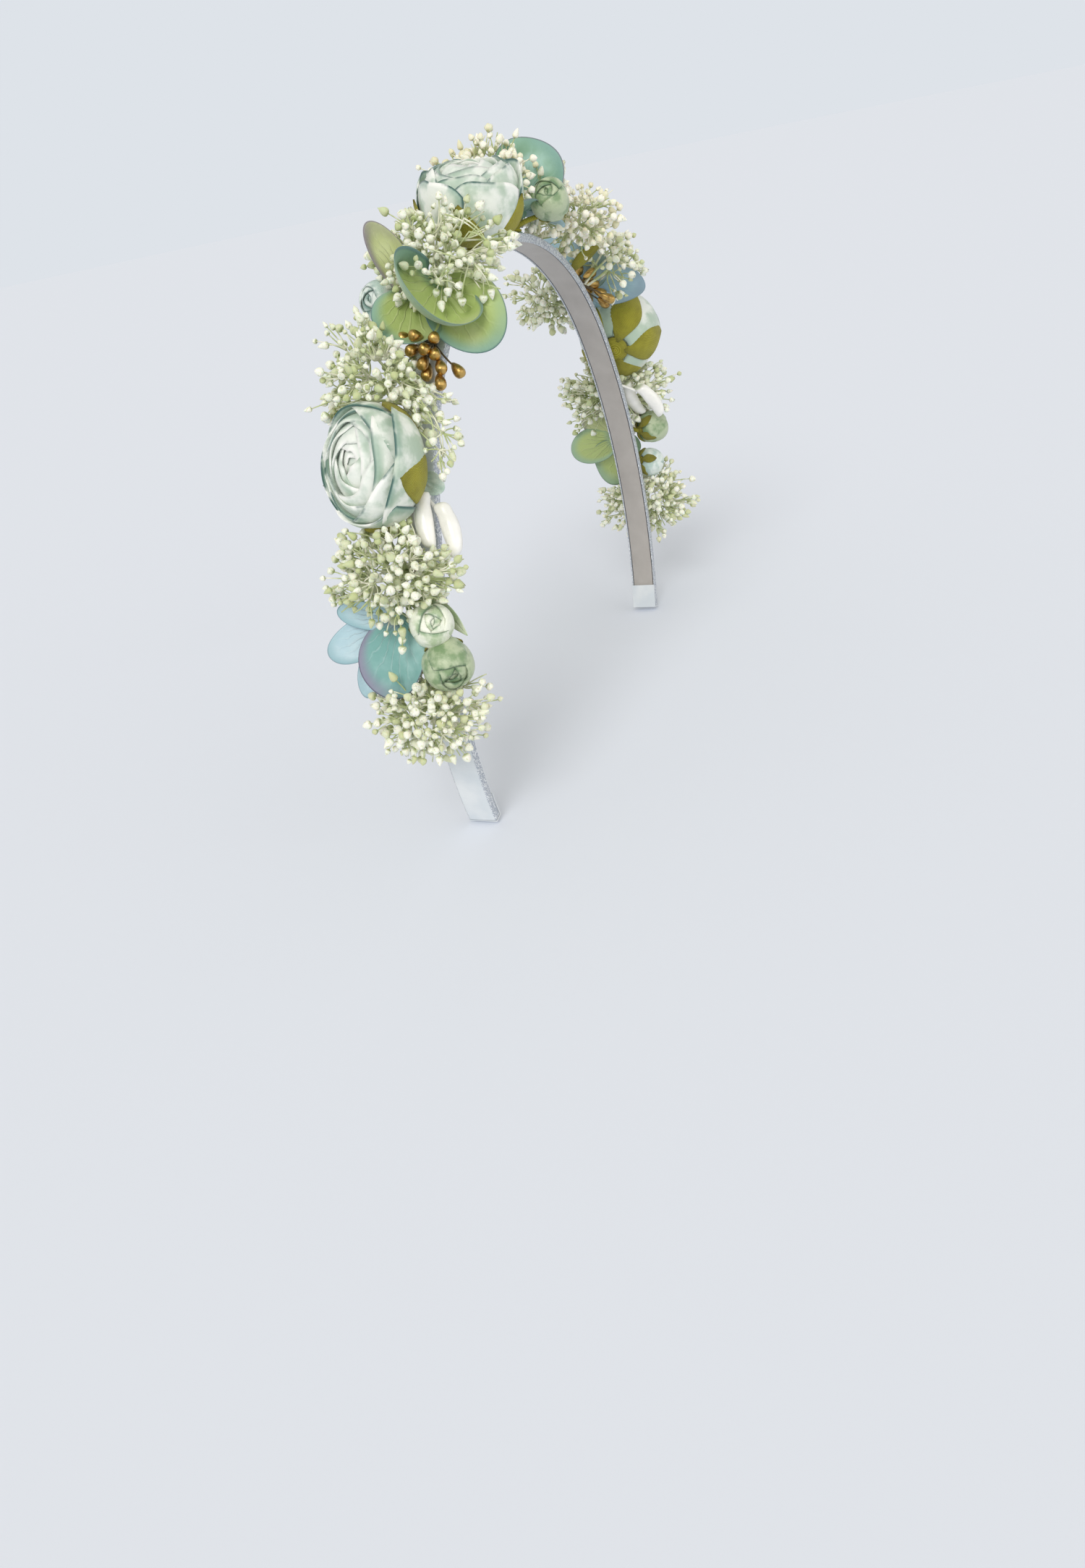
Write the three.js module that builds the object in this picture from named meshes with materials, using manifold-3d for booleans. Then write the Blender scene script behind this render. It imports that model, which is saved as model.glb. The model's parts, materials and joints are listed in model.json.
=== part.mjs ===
// Flower crown: a satin-covered head band that carries a garland of artificial flowers, dried
// gypsophila sprays, gilt stamens and pearl clay buds. Millimetres, +Z up. The origin is the middle
// of the band's inner face at the crown of the head, +X is the wearer's left and -Y the front.

import * as THREE from "three";
import { ConvexGeometry } from "three/addons/geometries/ConvexGeometry.js";
import { mergeVertices } from "three/addons/utils/BufferGeometryUtils.js";
import Module from "manifold-3d";

const wasm = await Module();
wasm.setup();

// Band arch, measured on the inner face
const crownRadius = 65.8;
const crownSweepDegrees = 60;
const sideRadius = 121.8;
const sideSweepDegrees = 45;
const bandWidth = 8;
const bandThickness = 2.2;
const crownFacetCount = 15;
const sideFacetCount = 8;

// Ribbon layers and the strip inside them
const ribbonThickness = 0.35;
const layerGap = 0.3;
const endFoldLength = 7;

// Clearances
const seatGap = 0.3;
const pieceGap = 0.3;
const ribbonGap = 0.2;
const neighbourGap = 0.35;

// Glue dab and wire stem under each flower, and how deep a ranunculus sits in its dab
const dabLength = 3.6;
const dabWidth = 3.2;
const dabHeight = 0.9;
const dabTopShare = 0.6;
const dabBite = 0.4;
const stemDiameter = 1.3;
const sprayStemDiameter = 0.9;

// Ranunculus
const ranunculusDiameter = 25;
const ranunculusHeight = 18.5;
const ranunculusPetalWall = 1.3;
const sepalWall = 0.9;

// Rosebuds
const rosebudDiameter = 10;
const rosebudHeight = 10.6;
const rosebudSepalWall = 0.7;

// Hydrangea florets
const hydrangeaPetalLength = 17;
const hydrangeaPetalWidth = 17;
const hydrangeaPetalThickness = 0.9;
const hydrangeaHubDiameter = 3;
const hydrangeaPipDiameter = 2.2;

// Gypsophila sprays
const sprayLength = 25;
const sprayWidth = 30;
const sprayHeight = 19;
const beadDiameter = 2.3;
const sprigReach = 3;

// Gilt stamens
const stamenLength = 11;
const stamenHeadDiameter = 2.3;
const stamenHeadLength = 4.2;
const stamenWireDiameter = 0.8;

// Pearl clay buds
const clayBudLength = 12.5;
const clayBudDiameter = 4.2;
const clayBudBend = 1.6;

// Leaves
const leafLength = 11;
const leafWidth = 6;
const leafThickness = 0.8;

// Length of bare ribbon at each tip, past the last flowers' middles
const bareEndLength = 24.5;

// Facet counts
const flowerSideCount = 20;
const flowerRingCount = 7;
const budSideCount = 12;
const budRingCount = 5;
const petalSideCount = 8;
const petalRingCount = 4;
const stemSideCount = 5;
const sprayDetail = 2;
const wireSideCount = 4;
const headRingCount = 2;
const eggDetail = 1;
const sprigCount = 9;
const beadDetail = 0;
const dabSideCount = 6;

// Powers that move the fullest place along a stamen head and a clay bud
const petalBellyShare = 1.4;
const clayBudBellyShare = 0.8;

// How far from the band's middle a spray is glued, as a share of the band's width, and how wide its
// stems spread at its middle, as a share of its half size
const sprayFootShare = 0.2;
const stemSpreadShare = 0.6;

// How far behind a neighbour a spray is cut away, as a share of the neighbour's distance from the
// spray's middle
const cutReachShare = 4;

// Size of a faceted ball that holds a round one, as a share of the round one's
const eggCoverShare = 1.06;

// Share of a spray's size by which its lumps swell and sink, and how sharp they are
const lumpShare = 0.28;
const lumpSharpness = 14;
const lumpCount = 20;

const goldenTurn = Math.PI * (3 - Math.sqrt(5));

// Materials
function finish(color, roughness, metalness = 0) {
  return new THREE.MeshStandardMaterial({ color, roughness, metalness });
}

const finishes = {
  satin: finish(0xb4bfc8, 0.35),
  steel: finish(0x9a9c9e, 0.4, 1),
  sepal: finish(0x77761c, 0.75),
  sageWhite: finish(0xc3cfc8, 0.7),
  sage: finish(0x8fae96, 0.65),
  darkTeal: finish(0x3d5f58, 0.7),
  tealPetal: finish(0x6a9a9a, 0.6),
  greenPetal: finish(0xa7ba78, 0.6),
  bluePetal: finish(0x9cc0cf, 0.6),
  mintLeaf: finish(0xbfd6b4, 0.6),
  gypsophila: finish(0xdfe4c4, 0.85),
  gilt: finish(0xa8853c, 0.3, 1),
  pearl: finish(0xf1ebe2, 0.3),
};

function barePositions(geometry) {
  const bare = new THREE.BufferGeometry();
  bare.setAttribute("position", geometry.getAttribute("position"));
  bare.setIndex(geometry.index);
  return bare;
}

// A closed mesh as a solid, and a solid as a mesh
function solidOf(geometry) {
  const merged = mergeVertices(barePositions(geometry));
  return new wasm.Manifold(
    new wasm.Mesh({
      numProp: 3,
      vertProperties: new Float32Array(merged.getAttribute("position").array),
      triVerts: new Uint32Array(merged.index.array),
    }),
  );
}

function geometryOf(solid) {
  const mesh = solid.getMesh();
  const geometry = new THREE.BufferGeometry();
  const step = mesh.numProp;
  const positions = [];
  for (let i = 0; i < mesh.numVert; i += 1) {
    positions.push(...mesh.vertProperties.subarray(i * step, i * step + 3));
  }
  geometry.setAttribute("position", new THREE.Float32BufferAttribute(positions, 3));
  geometry.setIndex(Array.from(mesh.triVerts));
  geometry.computeVertexNormals();
  return geometry;
}

function joined(geometries) {
  return geometries.map(solidOf).reduce((whole, piece) => whole.add(piece));
}

// The largest body of a trimmed solid
function mainBody(solid) {
  return solid.decompose().reduce((a, b) => (a.volume() > b.volume() ? a : b));
}

// A closed skin of rings between two poles: place(turn, along) gives its points, with turn from 0 to
// 1 round the rings and along from 0 to 1 from pole to pole
function closedSkin(sides, rings, place) {
  const points = [place(0, 0)];
  for (let ring = 1; ring <= rings; ring += 1) {
    for (let side = 0; side < sides; side += 1) {
      points.push(place(side / sides, ring / (rings + 1)));
    }
  }
  points.push(place(0, 1));
  const last = points.length - 1;
  const at = (ring, side) => 1 + (ring - 1) * sides + (side % sides);
  const faces = [];
  for (let side = 0; side < sides; side += 1) {
    faces.push(0, at(1, side + 1), at(1, side));
    faces.push(last, at(rings, side), at(rings, side + 1));
    for (let ring = 1; ring < rings; ring += 1) {
      faces.push(at(ring, side), at(ring, side + 1), at(ring + 1, side + 1));
      faces.push(at(ring, side), at(ring + 1, side + 1), at(ring + 1, side));
    }
  }
  const geometry = new THREE.BufferGeometry().setFromPoints(points);
  geometry.setIndex(faces);
  return geometry;
}

// A straight round rod between two points
function rod(from, to, diameter, sides = stemSideCount) {
  const along = to.clone().sub(from);
  const geometry = new THREE.CylinderGeometry(diameter / 2, diameter / 2, along.length(), sides);
  const up = new THREE.Vector3(0, 1, 0);
  const turn = new THREE.Quaternion().setFromUnitVectors(up, along.clone().normalize());
  geometry.applyQuaternion(turn);
  const middle = from.clone().add(to).divideScalar(2);
  geometry.translate(middle.x, middle.y, middle.z);
  return geometry;
}

// The dab of glue that holds a stem on the ribbon, with its flat underside just over the satin
function glueDab(foot, grow = 0) {
  const height = dabHeight + 2 * grow;
  const geometry = new THREE.CylinderGeometry(dabTopShare, 1, height, dabSideCount);
  geometry.rotateX(Math.PI / 2);
  geometry.scale(dabLength / 2 + grow, dabWidth / 2 + grow, 1);
  geometry.translate(foot.x, foot.y, seatGap + dabHeight / 2);
  return geometry;
}

// Where the band runs: a crown arc that goes over into a flatter arc on each side
const crownSweep = THREE.MathUtils.degToRad(crownSweepDegrees);
const sideSweep = THREE.MathUtils.degToRad(sideSweepDegrees);
const crownHalfFacet = crownSweep / crownFacetCount;
const crownArcLength = crownRadius * crownSweep;
const sideArcLength = sideRadius * sideSweep;
const crownCentre = -crownRadius * Math.cos(crownHalfFacet);

// The point at a height over the inner face, by the angle from the crown
function archPoint(angle, height) {
  const turned = Math.min(Math.abs(angle), crownSweep);
  const centre = new THREE.Vector2(0, crownCentre);
  let radius = crownRadius;
  if (Math.abs(angle) > crownSweep) {
    centre.x -= (sideRadius - crownRadius) * Math.sin(turned);
    centre.y -= (sideRadius - crownRadius) * Math.cos(turned);
    radius = sideRadius;
  }
  const swing = Math.abs(angle);
  const x = centre.x + (radius + height) * Math.sin(swing);
  const z = centre.y + (radius + height) * Math.cos(swing);
  return new THREE.Vector2(Math.sign(angle) * x, z);
}

function angleAt(station) {
  const distance = Math.abs(station);
  const beyond = Math.max(distance - crownArcLength, 0) / sideRadius;
  const within = Math.min(distance, crownArcLength) / crownRadius;
  return Math.sign(station) * (within + beyond);
}

// A group on the ribbon's outer face, with its x along the band, y to the back and z outwards
function seatedGroup(station) {
  const group = new THREE.Group();
  const angle = angleAt(station);
  const place = archPoint(angle, bandThickness);
  group.position.set(place.x, 0, place.y);
  group.rotation.y = angle;
  return group;
}

const tipAngle = crownSweep + sideSweep;

// Reach of the garland from the crown towards each tip, along the band
const garlandReach = crownArcLength + sideArcLength - bareEndLength;

// The angles of the facets from one end to the other
function facetAngles(from, to) {
  const angles = [];
  for (let i = 0; i < sideFacetCount; i += 1) {
    angles.push(-tipAngle + (sideSweep * i) / sideFacetCount);
  }
  for (let i = 0; i <= crownFacetCount; i += 1) {
    angles.push(-crownSweep + (2 * crownSweep * i) / crownFacetCount);
  }
  for (let i = 1; i <= sideFacetCount; i += 1) {
    angles.push(crownSweep + (sideSweep * i) / sideFacetCount);
  }
  const within = angles.filter((angle) => angle > from && angle < to);
  return [from, ...within, to];
}

// A strip that follows the arch between two heights over the inner face
function archStrip(inner, outer, width, from = -tipAngle, to = tipAngle) {
  const angles = facetAngles(from, to);
  const outline = angles.map((angle) => archPoint(angle, outer));
  outline.push(...angles.reverse().map((angle) => archPoint(angle, inner)));
  const shape = new THREE.Shape(outline);
  const geometry = new THREE.ExtrudeGeometry(shape, { depth: width, bevelEnabled: false });
  geometry.rotateX(Math.PI / 2);
  geometry.translate(0, width / 2, 0);
  return geometry;
}

const crown = new THREE.Group();
const keepOuts = [];

function addMesh(group, name, material, solid) {
  const mesh = new THREE.Mesh(geometryOf(solid), material);
  mesh.name = name;
  group.add(mesh);
  return mesh;
}

// Band: spring strip, lining ribbon, outer ribbon round the sides and a folded hem at each end
function addBand() {
  const coreWidth = bandWidth - 2 * (ribbonThickness + layerGap);
  const coreInner = ribbonThickness + layerGap;
  const coreOuter = bandThickness - ribbonThickness - layerGap;
  const endClear = layerGap / sideRadius;
  const foldAngle = tipAngle - endFoldLength / sideRadius;
  const lining = archStrip(0, ribbonThickness, coreWidth);
  const core = archStrip(coreInner, coreOuter, coreWidth, -tipAngle + endClear, tipAngle - endClear);
  const full = solidOf(archStrip(0, bandThickness, bandWidth));
  const reach = tipAngle + endClear;
  const bandSpace = archStrip(0, bandThickness + ribbonGap, bandWidth + 2 * ribbonGap, -reach, reach);
  keepFree(bandSpace, "band");
  const roomOuter = bandThickness - ribbonThickness;
  const room = archStrip(-ribbonThickness, roomOuter, bandWidth - 2 * ribbonThickness, -reach, reach);
  addMesh(crown, "band_core", finishes.steel, solidOf(core));
  addMesh(crown, "inner_ribbon", finishes.satin, solidOf(lining));
  addMesh(crown, "outer_ribbon", finishes.satin, full.subtract(solidOf(room)));
  for (const side of [-1, 1]) {
    const plateStart = tipAngle + endClear;
    const plateEnd = plateStart + ribbonThickness / sideRadius;
    const hemStart = foldAngle;
    const ends = (a, b) => (side < 0 ? [-b, -a] : [a, b]);
    const hemInner = -layerGap - ribbonThickness;
    const plate = archStrip(hemInner, bandThickness, bandWidth, ...ends(plateStart, plateEnd));
    const hem = archStrip(hemInner, -layerGap, bandWidth, ...ends(hemStart, plateEnd));
    const name = side < 0 ? "right_end_fold" : "left_end_fold";
    addMesh(crown, name, finishes.satin, joined([plate, hem]));
  }
}

// Keeps a space free of the pieces that come after it
function keepFree(geometry, owner) {
  keepOuts.push({ solid: solidOf(geometry), box: boxOf(geometry), geometry, owner });
}

// A space that is kept free, and for a spray also all that lies behind it as seen from a viewpoint
function plainSpace(space) {
  return space.solid;
}

function spaceAndBehind(space, viewpoint) {
  if (space.owner === "band") {
    return space.solid;
  }
  const position = space.geometry.getAttribute("position");
  const points = [];
  for (let i = 0; i < position.count; i += 1) {
    const point = new THREE.Vector3().fromBufferAttribute(position, i);
    points.push(point, viewpoint.clone().lerp(point, cutReachShare));
  }
  return solidOf(new ConvexGeometry(points));
}

function spacesNear(box, owner) {
  return keepOuts.filter((space) => space.owner !== owner && space.box.intersectsBox(box));
}

function boxOf(geometry) {
  geometry.computeBoundingBox();
  return geometry.boundingBox;
}

// A group's pieces in the frame of the whole crown
function placed(geometries, group) {
  group.updateWorldMatrix(true, false);
  return geometries.map((geometry) => geometry.clone().applyMatrix4(group.matrixWorld));
}

// One node made of simple pieces: joined, and trimmed by what was placed before it. pieces(grow) gives
// them grown on all sides, and with the neighbours' gap they are the space that stays free after it
function addNode(group, name, material, pieces, owner, cut = plainSpace) {
  const bare = placed(pieces(0), group);
  const box = bare.reduce((whole, piece) => whole.union(boxOf(piece)), new THREE.Box3());
  const spaces = spacesNear(box, owner);
  const whole = spaces.reduce((solid, space) => solid.subtract(cut(space)), joined(bare));
  const mesh = addMesh(group, name, material, mainBody(whole));
  mesh.geometry.applyMatrix4(group.matrixWorld.clone().invert());
}

function keepPieces(group, owner, pieces) {
  placed(pieces, group).forEach((piece) => keepFree(piece, owner));
}

// The space of a round flower: a faceted ball that holds an egg of the given half sizes
function eggSpace(half, frame) {
  const egg = new THREE.IcosahedronGeometry(eggCoverShare, eggDetail);
  egg.scale(half.x + neighbourGap, half.y + neighbourGap, half.z + neighbourGap);
  return egg.applyMatrix4(frame);
}

// A wave from 0 to 1 with one crest in each lobe
function lobeWave(turn, lobes, shift = 0) {
  return (1 - Math.cos(2 * Math.PI * (turn * lobes + shift))) / 2;
}

// An egg-shaped shell, open at the top, whose rim and outside follow the petals
function petalShell(radius, height, wall, petals, sides = flowerSideCount, rings = flowerRingCount) {
  const place = (turn, along) => {
    const lobe = lobeWave(turn, petals.lobes, petals.shift);
    const rim = THREE.MathUtils.degToRad(petals.rimDegrees + petals.lobeDegrees * lobe);
    const outside = along < 1 / 2;
    const share = outside ? 2 * along : 2 - 2 * along;
    const latitude = -Math.PI / 2 + (rim + Math.PI / 2) * share;
    const relief = outside ? petals.reliefShare * wall * (1 - lobe) * share : wall;
    const flat = (radius - relief) * Math.cos(latitude);
    const angle = 2 * Math.PI * turn;
    const up = (height - relief) * Math.sin(latitude);
    return new THREE.Vector3(flat * Math.cos(angle), flat * Math.sin(angle), up);
  };
  return closedSkin(sides, rings, place);
}

// A closed egg with petal edges that wind up to its top
function budSolid(radius, height, petals) {
  const place = (turn, along) => {
    const latitude = -Math.PI / 2 + Math.PI * along;
    const lobe = lobeWave(turn + petals.twistShare * along, petals.lobes);
    const size = 1 - petals.reliefShare * lobe * Math.sin(Math.PI * along);
    const flat = radius * size * Math.cos(latitude);
    const angle = 2 * Math.PI * turn;
    const up = height * size * Math.sin(latitude);
    return new THREE.Vector3(flat * Math.cos(angle), flat * Math.sin(angle), up);
  };
  return closedSkin(budSideCount, budRingCount, place);
}

// A thin petal or leaf from its root at the origin along +X, hollow side up
function petalBlade(bareLength, bareWidth, bareThickness, form, grow = 0) {
  const length = bareLength + 2 * grow;
  const width = bareWidth + 2 * grow;
  const thickness = bareThickness + 2 * grow;
  const place = (turn, along) => {
    const x = along * length - grow;
    const fullness = Math.sin(Math.PI * Math.pow(along, form.bellyShare)) ** form.blunt;
    const angle = 2 * Math.PI * turn;
    const y = (width / 2) * fullness * Math.cos(angle);
    const skin = (thickness / 2) * Math.sin(angle) * Math.sqrt(Math.sin(Math.PI * along));
    const cup = (form.cupShare * y * y) / width;
    const curl = form.curlShare * length * along * along;
    const wave = form.waveShare * width * Math.sin(2 * Math.PI * along) * Math.cos(angle);
    return new THREE.Vector3(x, y, skin + cup + curl + wave);
  };
  return closedSkin(petalSideCount, petalRingCount, place);
}

// Where each flower sits: stations as shares of the garland's reach, asides as shares of the band's
// width from its middle to the back, and feet likewise, along and aside of the flower's own place
const ranunculusShares = [
  { name: "right", at: -0.547, aside: 0.62, foot: [0.2, 0.2], lean: -12, tip: -3, spin: 10 },
  { name: "top", at: -0.092, aside: -0.38, foot: [0, 0], lean: -5, tip: 6, spin: -12 },
  { name: "left", at: 0.564, aside: -0.35, foot: [-0.2, -0.1], lean: -8, tip: 6, spin: 30 },
];

// Petal edges of each layer of a ranunculus
const sepalForm = { lobes: 5, shift: 0, rimDegrees: -58, lobeDegrees: 68, reliefShare: 0 };
const outerForm = { lobes: 5, shift: 0.3, rimDegrees: -12, lobeDegrees: 26, reliefShare: 0.7 };
const innerForm = { lobes: 5, shift: 0.8, rimDegrees: 14, lobeDegrees: 24, reliefShare: 0.7 };
const heartForm = { lobes: 5, twistShare: 0.5, reliefShare: 0.14 };

// The spin of a flower about its stem, its tilt, and the place of its middle
function flowerFrame(seat, middle) {
  const turn = new THREE.Euler(
    THREE.MathUtils.degToRad(seat.lean),
    THREE.MathUtils.degToRad(seat.tip),
    THREE.MathUtils.degToRad(seat.spin),
  );
  return new THREE.Matrix4().makeRotationFromEuler(turn).setPosition(middle);
}

function footOf(seat) {
  return new THREE.Vector3(seat.foot[0] * bandWidth, seat.foot[1] * bandWidth, seatGap);
}

// Glue dab and stem up to a flower's base
function stemPieces(foot, base, diameter, grow = 0) {
  const start = foot.clone();
  start.z += dabHeight / 2;
  return [glueDab(foot, grow), rod(start, base, diameter + 2 * grow)];
}

// Calyx on its stem, with the layers that nest in it from the outside in
function addFlower(seat, group, owner, size, tones, calyx, layers) {
  const middle = new THREE.Vector3(0, seat.aside * bandWidth, size.rise);
  const frame = flowerFrame(seat, middle);
  const skin = pieceGap + size.sepalWall;
  const base = new THREE.Vector3(0, 0, -size.half - pieceGap - size.sepalWall / 2).applyMatrix4(frame);
  const stem = (grow) => stemPieces(footOf(seat), base, stemDiameter, grow);
  const sepals = calyx(size.radius + skin, size.half + skin, size.sepalWall).applyMatrix4(frame);
  addNode(group, owner + "_calyx", finishes.sepal, () => [...stem(0), sepals], owner);
  let inset = 0;
  for (const layer of layers) {
    const petals = layer.make(size.radius - inset, size.half - inset).applyMatrix4(frame);
    addNode(group, owner + layer.name, tones, () => [petals], owner);
    inset += size.petalWall + pieceGap;
  }
  const outside = new THREE.Vector3(size.radius + skin, size.radius + skin, size.half + skin);
  keepPieces(group, owner, [...stem(neighbourGap), eggSpace(outside, frame)]);
}

function addRanunculus(seat) {
  const group = seatedGroup(seat.at * garlandReach);
  crown.add(group);
  const half = ranunculusHeight / 2;
  const size = {
    radius: ranunculusDiameter / 2,
    half,
    rise: seatGap + dabHeight - dabBite + sepalWall + pieceGap + half,
    sepalWall,
    petalWall: ranunculusPetalWall,
  };
  const shell = (form) => (radius, height) => petalShell(radius, height, ranunculusPetalWall, form);
  const layers = [
    { name: "_outer_petals", make: shell(outerForm) },
    { name: "_inner_petals", make: shell(innerForm) },
    { name: "_heart", make: (radius, height) => budSolid(radius, height, heartForm) },
  ];
  const calyx = (radius, height, wall) => petalShell(radius, height, wall, sepalForm);
  addFlower(seat, group, "ranunculus_" + seat.name, size, finishes.sageWhite, calyx, layers);
}

// Rosebuds: rise is the share of a bud's height at which its middle lies over the ribbon
const rosebudShares = [
  {
    name: "right_low", at: -0.837, aside: -0.92, rise: 0.74, size: 1.1,
    foot: [-0.5, -0.2], lean: 40, tip: -25, spin: 0, tone: "sage",
  },
  {
    name: "right_high", at: -0.777, aside: -0.62, rise: 0.78, size: 0.95,
    foot: [0.3, -0.2], lean: 35, tip: 20, spin: 0, tone: "sage",
  },
  {
    name: "right_back", at: -0.279, aside: 1.5, rise: 0.6, size: 0.86,
    foot: [0.5, 0.25], lean: -50, tip: 0, spin: 0, tone: "darkTeal",
  },
  {
    name: "top", at: 0.109, aside: -1.22, rise: 0.89, size: 1.05,
    foot: [-0.55, -0.2], lean: 30, tip: -45, spin: 0, tone: "sage",
  },
  {
    name: "left_high", at: 0.77, aside: -0.95, rise: 0.7, size: 0.95,
    foot: [-0.4, -0.2], lean: 40, tip: 10, spin: 0, tone: "sage",
  },
  {
    name: "left_low", at: 0.848, aside: -0.6, rise: 0.6, size: 0.85,
    foot: [0.3, -0.1], lean: 30, tip: 30, spin: 0, tone: "darkTeal",
  },
];
const budSepalForm = { lobes: 4, shift: 0, rimDegrees: -50, lobeDegrees: 45, reliefShare: 0 };
const budPetalForm = { lobes: 3, twistShare: 0.6, reliefShare: 0.16 };

function addRosebud(seat) {
  const group = seatedGroup(seat.at * garlandReach);
  crown.add(group);
  const size = {
    radius: (rosebudDiameter / 2) * seat.size,
    half: (rosebudHeight / 2) * seat.size,
    rise: seat.rise * rosebudHeight,
    sepalWall: rosebudSepalWall,
    petalWall: 0,
  };
  const bud = (radius, height) => budSolid(radius, height, budPetalForm);
  const layers = [{ name: "_petals", make: bud }];
  const counts = [budSideCount, budRingCount];
  const calyx = (radius, height, wall) => petalShell(radius, height, wall, budSepalForm, ...counts);
  addFlower(seat, group, "rosebud_" + seat.name, size, finishes[seat.tone], calyx, layers);
}

// A flat piece turned about its root: turn in the ribbon's plane, lift over it, roll about its length
function posed(geometry, root, pose) {
  const turn = new THREE.Matrix4().makeRotationZ(THREE.MathUtils.degToRad(pose.turn));
  turn.multiply(new THREE.Matrix4().makeRotationY(-THREE.MathUtils.degToRad(pose.lift)));
  turn.multiply(new THREE.Matrix4().makeRotationX(THREE.MathUtils.degToRad(pose.roll)));
  return geometry.applyMatrix4(turn.setPosition(root));
}

// Hydrangea florets: each has four petals, with lengths and widths as shares of the whole petal's
const hydrangeaShares = [
  {
    name: "right_teal", at: -0.768, aside: 0.5, rise: 0.36, foot: [-0.55, 0.15], tone: "tealPetal",
    petals: [
      { turn: 155, lift: 24, roll: 0, length: 1.12, width: 1.15, curl: -0.3 },
      { turn: 112, lift: 2, roll: 10, length: 1.36, width: 0.56, curl: -0.05 },
      { turn: 136, lift: -5, roll: 0, length: 1.42, width: 0.5, curl: -0.05 },
      { turn: 82, lift: 6, roll: 0, length: 0.95, width: 0.4, curl: 0 },
    ],
  },
  {
    name: "right_green", at: -0.271, aside: -0.5, rise: 0.47, foot: [0.3, 0.1], tone: "greenPetal",
    petals: [
      { turn: 42, lift: 42, roll: -20, length: 1.25, width: 0.5, curl: 0.1 },
      { turn: 144, lift: -4, roll: 0, length: 0.95, width: 1.25, curl: -0.1 },
      { turn: 150, lift: 14, roll: 0, length: 0.72, width: 1.35, curl: -0.3 },
      { turn: 228, lift: -14, roll: 0, length: 1.15, width: 0.95, curl: -0.1 },
    ],
  },
  {
    name: "top_teal", at: 0.108, aside: -0.2, rise: 0.32, foot: [0, 0], tone: "tealPetal",
    petals: [
      { turn: 331, lift: 75, roll: 68, length: 1.1, width: 1.1, curl: 0.05 },
      { turn: 328, lift: -12, roll: 0, length: 0.8, width: 0.45, curl: 0 },
      { turn: 70, lift: 20, roll: 0, length: 0.8, width: 0.8, curl: 0 },
      { turn: 200, lift: 8, roll: 0, length: 0.65, width: 0.6, curl: 0 },
    ],
  },
  {
    name: "left_blue", at: 0.43, aside: 0.1, rise: 0.42, foot: [0, 0], tone: "bluePetal",
    petals: [
      { turn: 150, lift: 24, roll: 0, length: 1.1, width: 0.9, curl: -0.1 },
      { turn: 15, lift: 12, roll: 0, length: 0.8, width: 1, curl: -0.1 },
      { turn: 285, lift: 22, roll: 0, length: 1.05, width: 0.85, curl: -0.2 },
      { turn: 200, lift: 30, roll: 0, length: 0.75, width: 0.8, curl: 0 },
    ],
  },
  {
    name: "left_green", at: 0.79, aside: 0.8, rise: 0.4, foot: [0.1, 0.15], tone: "greenPetal",
    petals: [
      { turn: 10, lift: 24, roll: 0, length: 1.05, width: 1, curl: -0.2 },
      { turn: 75, lift: 6, roll: 0, length: 1.05, width: 0.7, curl: 0 },
      { turn: 130, lift: 12, roll: 0, length: 0.85, width: 0.7, curl: 0 },
      { turn: 320, lift: 20, roll: 0, length: 0.6, width: 0.6, curl: 0 },
    ],
  },
];
const hydrangeaFormShares = { bellyShare: 1.25, blunt: 0.62, cupShare: 0.5, waveShare: 0.03 };

function addHydrangea(seat) {
  const group = seatedGroup(seat.at * garlandReach);
  crown.add(group);
  const owner = "hydrangea_" + seat.name;
  const hub = new THREE.Vector3(0, seat.aside * bandWidth, seat.rise * hydrangeaPetalLength);
  const blade = (petal, grow) => {
    const form = { ...hydrangeaFormShares, curlShare: petal.curl };
    const length = hydrangeaPetalLength * petal.length;
    const width = hydrangeaPetalWidth * petal.width;
    return posed(petalBlade(length, width, hydrangeaPetalThickness, form, grow), hub, petal);
  };
  const pieces = (grow) => {
    const ball = new THREE.IcosahedronGeometry(hydrangeaHubDiameter / 2 + grow, beadDetail);
    ball.translate(hub.x, hub.y, hub.z);
    const petals = seat.petals.map((petal) => blade(petal, grow));
    return [...stemPieces(footOf(seat), hub, stemDiameter, grow), ball, ...petals];
  };
  addNode(group, owner, finishes[seat.tone], pieces, owner);
  const pipRise = (hydrangeaHubDiameter + hydrangeaPipDiameter) / 2 + pieceGap;
  const pip = (grow) => {
    const bead = new THREE.IcosahedronGeometry(hydrangeaPipDiameter / 2 + grow, beadDetail);
    bead.translate(hub.x, hub.y, hub.z + pipRise);
    return [bead];
  };
  keepPieces(group, owner, pieces(neighbourGap));
  addNode(group, owner + "_pip", finishes.gypsophila, pip, owner + "_pip");
  keepPieces(group, owner + "_pip", pip(neighbourGap));
}

// Gilt stamens: directions of their wires and their lengths as shares of the whole stamen
const stamenShares = [
  { turn: 120, lift: 46, length: 0.8 },
  { turn: 168, lift: 62, length: 0.8 },
  { turn: 192, lift: 36, length: 0.85 },
  { turn: 226, lift: 46, length: 0.75 },
  { turn: 203, lift: 15, length: 1.15 },
  { turn: 183, lift: 12, length: 1.05 },
  { turn: 223, lift: 10, length: 1.3 },
];
const stamenBunchShares = [
  { name: "right", at: -0.336, foot: [0, -0.15], mirror: 1 },
  { name: "left", at: 0.36, foot: [0, -0.15], mirror: -1 },
];

// A pear-shaped head along +X from its wire's end
function stamenHead(length, diameter) {
  const place = (turn, along) => {
    const fullness = Math.sin(Math.PI * Math.pow(along, petalBellyShare));
    const flat = (diameter / 2) * fullness;
    const angle = 2 * Math.PI * turn;
    return new THREE.Vector3(along * length, flat * Math.cos(angle), flat * Math.sin(angle));
  };
  return closedSkin(stemSideCount, headRingCount, place);
}

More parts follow.
